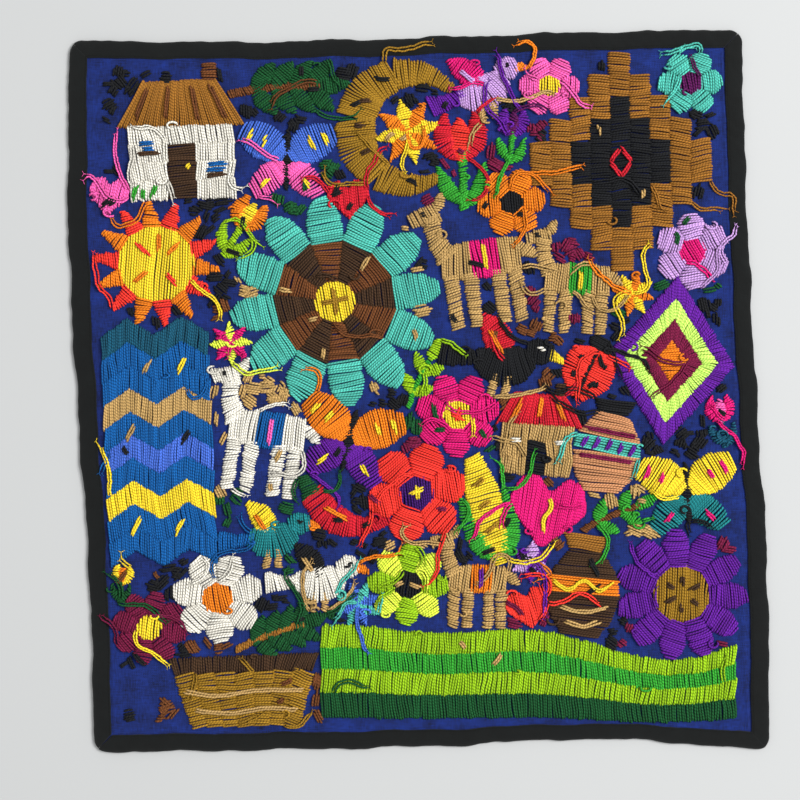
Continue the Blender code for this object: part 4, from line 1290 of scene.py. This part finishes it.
def height_map():
    """The highest point of cloth, binding and strands in each square millimetre."""
    size = 2 * MAP_HALF
    heights = np.zeros((size, size))
    to_middle = MAP_BLOCK / 2 - MAP_HALF
    for i in range(0, size, MAP_BLOCK):
        for j in range(0, size, MAP_BLOCK):
            point = Vector((i + to_middle, j + to_middle))
            distance = edge_distance(point)
            if distance > 0:
                bound = BINDING_TOP if distance < BINDING_WIDTH + 1 else 0.0
                heights[i : i + MAP_BLOCK, j : j + MAP_BLOCK] = max(bound, cloth_height(point))
    for items in strands.values():
        for line, radii, _, _ in items:
            steps = np.linalg.norm(np.diff(line, axis=0), axis=1)
            along = np.concatenate([[0.0], np.cumsum(steps)])
            fine = np.arange(0, along[-1], STRAND_SAMPLE)
            x, y, z, r = (np.interp(fine, along, values) for values in (*line.T, radii))
            cells = ((x + MAP_HALF).astype(int), (y + MAP_HALF).astype(int))
            np.maximum.at(heights, cells, z + r)
    return heights


heights = height_map()
print("heights:", round(float(heights.max()), 2), "mm at most")


def top_near(point, reach=1):
    """The highest value of the map within a reach of a point."""
    i, j = int(point.x + MAP_HALF), int(point.y + MAP_HALF)
    return float(heights[i - reach : i + reach + 1, j - reach : j + reach + 1].max())


def lay_strand(key, route, rng, held=(True, True), radius=YARN_RADIUS, tone=0.5):
    """A strand along a route on top of the work. A held end goes down into it, a free one lies on it."""
    tops = [top_near(point) + REST_SHARE * radius for point in route]
    for _ in range(2):
        padded = [tops[0], *tops, tops[-1]]
        tops = [max(tops[k], (padded[k] + padded[k + 2]) / 2) for k in range(len(tops))]
    for is_held, places in zip(held, ((0, 1), (-1, -2))):
        for k, drop in zip(places, HELD_DROPS):
            tops[k] -= drop if is_held else 0.0
    line = [(point.x, point.y, top) for point, top in zip(route, tops)]
    ends = tuple(HELD_END if is_held else FREE_END for is_held in held)
    add_strand(key, line, radius, tone, end_shares=ends, turn=rng.uniform(0, 1))


def resample(points, step=2.2):
    """Points a step apart on a smooth line through the given ones."""
    rough = [curve_point(points, k / 24) for k in range(25)]
    length = sum((b - a).length for a, b in zip(rough, rough[1:]))
    count = max(4, round(length / step))
    return [curve_point(points, k / count) for k in range(count + 1)]


def beside(route, offset):
    """A route moved sideways, for the second strand of a pair."""
    moved = []
    for k, point in enumerate(route):
        ahead = route[min(k + 1, len(route) - 1)] - route[max(k - 1, 0)]
        moved.append(point + Vector((-ahead.y, ahead.x)).normalized() * offset)
    return moved


# %% [markdown]
# Small clumps of stitches
#
# The maker used up yarn in the spaces that were left: little bars of two to five stitches, up to as long as
# a fingertip is wide, and mostly black. They stand where the map of heights shows bare cloth, the way that
# the bare place is longest, and noise gathers them into some parts of the work and leaves others open. Each
# counts as part of the motif nearest to it.

# %% Clumps between the motifs
CLUMP_GRID = 7.0
CLUMP_REACH = 2
CLUMP_LENGTH = 13.0
CLUMP_LEAST = 5.0
CLUMP_EDGE = 23.0
CLUMP_GATHER, GATHER_FROM = 45.0, -0.12
CLUMP_JITTER = 2.2
CLUMP_PADDING = 0.15
BARE_RISE = 0.8
SPARE_COLOURS = ("black", "black", "dark_green", "black", "tan", "black", "burgundy", "black", "brown")


def spare_colour(number):
    """The left-over yarn that was used round a motif."""
    return SPARE_COLOURS[number % len(SPARE_COLOURS)]


def nearest_motif(point):
    """The number of the motif whose rim is nearest to a point."""
    return min(range(len(MOTIFS)), key=lambda n: (Vector(MOTIFS[n][1:3]) - point).length - 0.4 * MOTIFS[n][3])


def bare_run(centre, ahead):
    """How far the cloth is bare from a point, one way and the other, up to half a clump's length."""
    runs, bare_top = [], cloth_height(centre) + BARE_RISE
    for way in (-1, 1):
        run = 1.0
        while run < CLUMP_LENGTH / 2 and top_near(centre + ahead * run * way) < bare_top:
            run += 1.0
        runs.append(run)
    return runs


def lay_clump(key, centre, rng):
    """Lays short stitches side by side, the way that the bare place is longest. False without room."""
    angles = rng.uniform(0, math.pi) + np.arange(8) * math.pi / 8
    directions = [Vector((math.cos(angle), math.sin(angle))) for angle in angles]
    ahead = max(directions, key=lambda direction: sum(bare_run(centre, direction)))
    back, forth = bare_run(centre, ahead)
    if back + forth < CLUMP_LEAST:
        return False
    centre = centre + ahead * (forth - back) / 2
    half_length = min(back + forth, rng.uniform(0.45, 1.0) * CLUMP_LENGTH) / 2
    sideways = Vector((-ahead.y, ahead.x))
    count = rng.integers(2, 6)
    for k in range(count):
        off = 2 * k / (count - 1) - 1
        middle = centre + sideways * float(off * (count - 1) * PITCH / 2) + ahead * rng.normal(0, 0.7)
        reach = ahead * half_length * float(1 - 0.25 * off**2)
        bows = (rng.normal(0, 0.35), 0.0)
        lift = abs(rng.normal(0, 0.2))
        line = stitch_line(middle - reach, middle + reach, CLUMP_PADDING, bows, lift)
        radius = YARN_RADIUS * rng.uniform(0.92, 1.1)
        add_strand(key, line, radius, rng.uniform(0, 1), turn=rng.uniform(0, 1))
    return True


rng = np.random.default_rng([SEED + 4])
clumps = 0
steps = range(int(-MAP_HALF / CLUMP_GRID), int(MAP_HALF / CLUMP_GRID) + 1)
for i in steps:
    for j in steps:
        centre = Vector(((i + 0.5 * (j % 2)) * CLUMP_GRID, j * CLUMP_GRID))
        centre += Vector(rng.normal(0, CLUMP_JITTER, 2))
        if edge_distance(centre) < CLUMP_EDGE:
            continue
        bare = top_near(centre, CLUMP_REACH) < cloth_height(centre) + BARE_RISE
        gathered = noise.noise(Vector((centre.x / CLUMP_GATHER, centre.y / CLUMP_GATHER, 8.0)))
        if bare and gathered > GATHER_FROM:
            number = nearest_motif(centre)
            clumps += lay_clump((MOTIFS[number][0], spare_colour(number)), centre, rng)
heights = height_map()
print("clumps:", clumps)

# %% [markdown]
# Stitches on top
#
# Details are worked last, over the filling: window bars, feather lines, the seeds of a bloom. They are
# long single stitches in a doubled yarn. The table gives them in the motif's own unit sizes, so they turn
# and scale with it.

# %% Over-stitches
WING_BARS = [
    [(-0.4, 0.18), (-0.34, 0.3)],
    [(-0.27, 0.12), (-0.2, 0.24)],
    [(0.4, 0.18), (0.34, 0.3)],
    [(0.27, 0.12), (0.2, 0.24)],
    [(-0.24, -0.26), (-0.16, -0.17)],
    [(0.24, -0.26), (0.16, -0.17)],
]
OVER_STITCHES = {
    "cottage": [
        ("bright_blue", [(-0.33, -0.06), (-0.21, -0.05)]),
        ("bright_blue", [(-0.33, -0.1), (-0.2, -0.1)]),
        ("dark_brown", [(-0.35, -0.14), (-0.18, -0.13)]),
        ("bright_blue", [(0.2, -0.24), (0.34, -0.23)]),
        ("bright_blue", [(0.2, -0.28), (0.33, -0.28)]),
        ("dark_brown", [(0.18, -0.33), (0.36, -0.31)]),
        ("brown", [(-0.36, 0.12), (-0.25, 0.38)]),
        ("brown", [(-0.12, 0.12), (-0.08, 0.39)]),
        ("brown", [(0.14, 0.12), (0.1, 0.39)]),
        ("brown", [(0.36, 0.12), (0.25, 0.38)]),
        ("yellow", [(0.04, -0.26), (0.07, -0.22)]),
        ("green", [(-0.4, -0.49), (-0.36, -0.38)]),
        ("green", [(-0.32, -0.5), (-0.31, -0.4)]),
        ("green", [(-0.25, -0.49), (-0.21, -0.39)]),
    ],
    "house_middle": [
        ("white", [(-0.32, -0.12), (-0.19, -0.11)]),
        ("white", [(0.2, -0.12), (0.33, -0.11)]),
        ("orange", [(-0.3, 0.14), (-0.2, 0.36)]),
        ("orange", [(0.0, 0.13), (0.02, 0.37)]),
        ("orange", [(0.3, 0.14), (0.2, 0.36)]),
    ],
    "sun": [
        ("orange", [(-0.17, -0.17), (-0.07, -0.07)]),
        ("scarlet", [(0.18, -0.16), (0.07, -0.06)]),
        ("orange", [(0.17, 0.18), (0.07, 0.07)]),
        ("scarlet", [(-0.18, 0.16), (-0.07, 0.06)]),
        ("orange", [(0.0, 0.24), (0.01, 0.1)]),
    ],
    "rosette": [
        ("olive_gold", [(-0.07, 0.0), (0.07, 0.01)]),
        ("olive_gold", [(0.0, -0.07), (0.0, 0.07)]),
        ("tan", [(0.15, 0.14), (0.2, 0.2)]),
        ("tan", [(-0.2, 0.08), (-0.27, 0.1)]),
        ("tan", [(-0.08, -0.2), (-0.1, -0.27)]),
    ],
    "crescent": [
        ("dark_brown", [(-0.36, 0.12), (-0.28, 0.14)]),
        ("dark_brown", [(-0.38, -0.04), (-0.29, -0.04)]),
        ("dark_brown", [(-0.3, -0.22), (-0.23, -0.17)]),
    ],
    "stepped_diamond": [
        ("red", [(-0.06, 0.0), (0.0, 0.08)]),
        ("red", [(0.0, 0.08), (0.06, 0.0)]),
        ("red", [(0.06, 0.0), (0.0, -0.08)]),
        ("red", [(0.0, -0.08), (-0.06, 0.0)]),
        ("tan", [(-0.12, 0.17), (-0.12, 0.21)]),
        ("tan", [(0.12, -0.21), (0.12, -0.17)]),
    ],
    "zigzag_rows": [
        ("yellow", [(-0.28, -0.85), (-0.2, -0.7)]),
        ("yellow", [(0.12, -0.86), (0.2, -0.72)]),
        ("tan", [(-0.3, 0.02), (-0.22, 0.16)]),
        ("yellow", [(0.2, 0.62), (0.28, 0.78)]),
        ("tan", [(-0.12, 0.62), (-0.05, 0.76)]),
        ("black", [(0.22, 0.0), (0.3, 0.1)]),
    ],
    "poppy": [("yellow", [(-0.08, 0.0), (0.07, 0.03)]), ("yellow", [(0.0, -0.08), (0.02, 0.08)])],
    "bloom_middle": [
        ("scarlet", [(-0.08, 0.03), (0.06, -0.06)]),
        ("scarlet", [(-0.03, -0.08), (0.05, 0.07)]),
    ],
    "sunflower": [
        ("dark_brown", [(0.0, 0.16), (0.0, 0.06)]),
        ("dark_brown", [(0.0, -0.16), (0.0, -0.07)]),
        ("dark_brown", [(-0.14, 0.09), (-0.05, 0.03)]),
        ("dark_brown", [(0.14, -0.09), (0.06, -0.03)]),
        ("dark_brown", [(-0.14, -0.08), (-0.06, -0.03)]),
        ("dark_brown", [(0.14, 0.08), (0.05, 0.03)]),
    ],
    "pot_north": [
        ("purple", [(-0.28, -0.07), (-0.23, 0.07)]),
        ("purple", [(-0.15, -0.07), (-0.1, 0.07)]),
        ("purple", [(-0.02, -0.07), (0.03, 0.07)]),
        ("purple", [(0.11, -0.07), (0.16, 0.07)]),
        ("purple", [(0.24, -0.07), (0.29, 0.07)]),
        ("burgundy", [(-0.29, -0.14), (0.29, -0.13)]),
        ("burgundy", [(-0.27, 0.15), (0.28, 0.14)]),
    ],
    "pot_south": [
        ("yellow", [(-0.3, 0.04), (-0.15, -0.05), (0.0, 0.05), (0.15, -0.04), (0.3, 0.05)]),
        ("tan", [(-0.24, -0.22), (0.0, -0.26), (0.24, -0.2)]),
        ("tan", [(-0.18, -0.36), (0.02, -0.4), (0.18, -0.34)]),
    ],
    "basket": [
        ("tan", [(-0.44, 0.02), (-0.2, -0.02), (0.1, 0.01), (0.44, 0.0)]),
        ("tan", [(-0.38, -0.12), (-0.1, -0.15), (0.15, -0.12), (0.38, -0.14)]),
    ],
    "llama_north": [("yellow", [(0.06, -0.08), (0.06, 0.12)]), ("black", [(-0.4, 0.42), (-0.36, 0.42)])],
    "llama_east": [("yellow", [(0.06, -0.08), (0.06, 0.12)]), ("black", [(-0.4, 0.42), (-0.36, 0.42)])],
    "llama_west": [("pink", [(0.06, -0.08), (0.06, 0.12)]), ("black", [(-0.4, 0.42), (-0.36, 0.42)])],
    "llama_south": [("purple", [(0.06, -0.08), (0.06, 0.12)]), ("black", [(-0.4, 0.42), (-0.36, 0.42)])],
    "bird_top": [("black", [(0.3, 0.18), (0.34, 0.19)]), ("lilac", [(-0.02, 0.08), (-0.14, 0.24)])],
    "bird_middle": [("white", [(0.3, 0.18), (0.34, 0.19)]), ("orange", [(0.0, 0.08), (-0.14, 0.24)])],
    "bird_west": [("black", [(0.3, 0.18), (0.34, 0.19)]), ("orange", [(-0.02, 0.08), (-0.14, 0.24)])],
    "bird_south": [("black", [(0.3, 0.18), (0.34, 0.19)]), ("tan", [(-0.02, 0.08), (-0.14, 0.24)])],
    "butterfly_top": [("yellow", line) for line in WING_BARS],
    "butterfly_middle": [("yellow", line) for line in WING_BARS],
    "butterfly_east": [("hot_pink", line) for line in WING_BARS],
    "maize_middle": [
        ("olive_gold", [(-0.07, -0.2), (0.07, -0.14)]),
        ("olive_gold", [(-0.08, 0.02), (0.07, 0.08)]),
        ("olive_gold", [(-0.07, 0.22), (0.06, 0.28)]),
    ],
    "beetle_east": [
        ("black", [(-0.25, 0.18), (-0.15, 0.2)]),
        ("black", [(-0.25, -0.2), (-0.15, -0.18)]),
        ("black", [(0.05, 0.2), (0.14, 0.18)]),
        ("black", [(0.05, -0.18), (0.14, -0.2)]),
    ],
    "heart_middle": [("yellow", [(0.0, 0.17), (0.04, 0.02), (-0.03, -0.14), (0.0, -0.32)])],
    "chilli_middle": [("orange", [(-0.14, 0.06), (0.12, -0.02)])],
}
PAIR_SPREAD = 0.8


def over_stitch(motif, colour, points, rng):
    """A doubled strand laid over the filling between the given points."""
    route = [place(motif, point) for point in points]
    ahead = (route[-1] - route[0]).normalized()
    for side in (-1, 1):
        moved = beside(route, side * PAIR_SPREAD)
        moved[0] = moved[0] + ahead * rng.normal(0, 1.1)
        moved[-1] = moved[-1] + ahead * rng.normal(0, 1.1)
        jittered = [p + Vector(rng.normal(0, 0.16, 2)) for p in resample(moved)]
        lay_strand((motif[0], colour), jittered, rng, tone=rng.uniform(0, 1))


by_name = {motif[0]: motif for motif in MOTIFS}
for number, (name, details) in enumerate(OVER_STITCHES.items()):
    rng = np.random.default_rng([SEED + 1, number])
    for colour, points in details:
        over_stitch(by_name[name], colour, points, rng)
print("over-stitches on", len(OVER_STITCHES), "motifs")

# %% [markdown]
# Loose tails, loops and darning stitches
#
# On this textile the ends were never woven in. Wherever a colour starts or stops, its doubled yarn is left
# as a tail one to five centimetres long that wanders over the work, frays at its tip, and here and there a
# loop stands up. Each tail takes a walk from the rim of its block: it keeps its heading, turns a little at
# every step, and turns back before it leaves the cloth. Where a block came out thin, a few darning stitches
# in whatever yarn was in the needle lie across it. All of it rests on the height map.

# %% Tails, loops and darning stitches
TAIL_STEP = 2.2
TAIL_LENGTHS = (12.0, 46.0)
TAIL_EDGE = 9.0
TAIL_THINNER = (0.72, 0.9)
TAIL_SPREADS = (0.65, 1.1)
CURL_START, CURL_KEPT, CURL_STEP = 0.12, 0.82, 0.1
LOOK_AHEAD, TURN_BACK = 8, 0.45
FRAY_LENGTH = 4.2
FRAY_THIN = 0.3
FRAY_ANGLES = (0.25, 0.7)
LOOP_RADII, LOOP_SQUASHES, LOOP_SWEEPS = (1.5, 4.2), (0.45, 0.9), (3.6, 5.4)
DARNING_ACROSS, DARNING_REACHES = 5, (3.0, 6.5)
CLOSELY_WORKED = {"cottage", "house_middle", "pot_north", "bloom_basket_right", "sun", "heart_middle"}


def walk(start, heading, length, rng):
    """A wandering route that stays on the textile."""
    route, curl = [start], rng.normal(0, CURL_START)
    for _ in range(int(length / TAIL_STEP)):
        curl = CURL_KEPT * curl + rng.normal(0, CURL_STEP)
        heading += curl
        ahead = Vector((math.cos(heading), math.sin(heading)))
        if edge_distance(route[-1] + ahead * LOOK_AHEAD) < TAIL_EDGE:
            home = -route[-1]
            turn = math.atan2(ahead.x * home.y - ahead.y * home.x, ahead.dot(home))
            heading += TURN_BACK * (1 if turn > 0 else -1)
        route.append(route[-1] + ahead * TAIL_STEP)
    return route


def fray(key, route, rng):
    """Two thin ply ends that part from a strand's tip."""
    tip, ahead = route[-1], route[-1] - route[-2]
    heading = math.atan2(ahead.y, ahead.x)
    for way in (-1, 1):
        angle = heading + way * rng.uniform(*FRAY_ANGLES)
        reach = FRAY_LENGTH * rng.uniform(0.5, 1.0)
        bend = Vector((math.cos(heading), math.sin(heading))) * reach / 2
        end = tip + Vector((math.cos(angle), math.sin(angle))) * reach
        lay_strand(key, [tip - ahead * 0.5, tip + bend, end], rng, held=(False, False), radius=FRAY_THIN)


def lay_tail(motif, block, rng):
    """A doubled tail from one corner of a block."""
    t = float(rng.choice([0.03, 0.97]))
    ends = [place(motif, end) for end in across(block, t)]
    start = ends[rng.integers(2)]
    outward = start - (ends[0] + ends[1]) / 2 + Vector(rng.normal(0, 1.5, 2))
    heading = math.atan2(outward.y, outward.x) + rng.normal(0, 0.7)
    route = walk(start, heading, rng.uniform(*TAIL_LENGTHS), rng)
    spread = rng.uniform(*TAIL_SPREADS)
    key = (motif[0], block["colour"])
    for side in (-1, 1):
        moved = beside(route[: max(4, len(route) - rng.integers(0, 4))], side * spread)
        moved = [p + Vector(rng.normal(0, 0.2, 2)) for p in moved]
        thin = YARN_RADIUS * rng.uniform(*TAIL_THINNER)
        lay_strand(key, moved, rng, held=(True, False), radius=thin, tone=rng.uniform(0, 1))
        fray(key, moved, rng)


def lay_loop(motif, block, rng):
    """A loop of slack yarn at the rim of a block, small or up to a centimetre wide."""
    ends = [place(motif, end) for end in across(block, rng.uniform(0.1, 0.9))]
    centre = ends[rng.integers(2)]
    radius, start = rng.uniform(*LOOP_RADII), rng.uniform(0, math.tau)
    squash, sweep = rng.uniform(*LOOP_SQUASHES), rng.uniform(*LOOP_SWEEPS)
    angles = np.linspace(start, start + sweep, 10)
    route = [centre + radius * Vector((math.cos(a), squash * math.sin(a))) for a in angles]
    lay_strand((motif[0], block["colour"]), route, rng, tone=rng.uniform(0, 1))


def lay_darning(motif, block, colour, rng):
    """A short doubled stitch across a block, at a slant to its filling."""
    t = rng.uniform(0.15, 0.85)
    a, b = (place(motif, end) for end in across(block, t))
    if (b - a).length < DARNING_ACROSS:
        return
    middle = a.lerp(b, rng.uniform(0.3, 0.7))
    angle = math.atan2(b.y - a.y, b.x - a.x) + rng.choice([-1, 1]) * rng.uniform(0.5, 1.3)
    reach = Vector((math.cos(angle), math.sin(angle))) * rng.uniform(*DARNING_REACHES)
    bend = Vector(rng.normal(0, 0.7, 2))
    for side in (-1, 1):
        points = [middle - reach, middle + bend, middle + reach * rng.uniform(0.7, 1.3)]
        route = resample(beside(points, side * PAIR_SPREAD))
        lay_strand((motif[0], colour), route, rng, tone=rng.uniform(0, 1))


tails = loops = darns = 0
for number, motif in enumerate(MOTIFS):
    rng = np.random.default_rng([SEED + 2, number])
    blocks = motif[-1]
    for _ in range(rng.integers(2, 5)):
        lay_tail(motif, blocks[rng.integers(len(blocks))], rng)
        tails += 1
    for _ in range(rng.integers(1, 4)):
        lay_loop(motif, blocks[rng.integers(len(blocks))], rng)
        loops += 1
    for _ in range(0 if motif[0] in CLOSELY_WORKED else rng.integers(0, 4)):
        lay_darning(motif, blocks[rng.integers(len(blocks))], spare_colour(number), rng)
        darns += 1
print("tails:", tails, "loops:", loops, "darning stitches:", darns)

# %% [markdown]
# From strands to pieces
#
# Every group of strands, one motif in one colour, becomes a piece that stands in for the motif's node,
# which is hidden, and takes the yarn material of its colour.

# %% Make the yarn pieces
triangles = 0
for (motif_name, colour), items in strands.items():
    name = f"{motif_name}_yarn_{colour}"
    mesh = strands_mesh(name, items)
    add_object(name, mesh, [motif_name], yarns[colour])
    triangles += sum(len(face.vertices) - 2 for face in mesh.polygons)
print("yarn:", len(strands), "pieces,", triangles, "triangles")
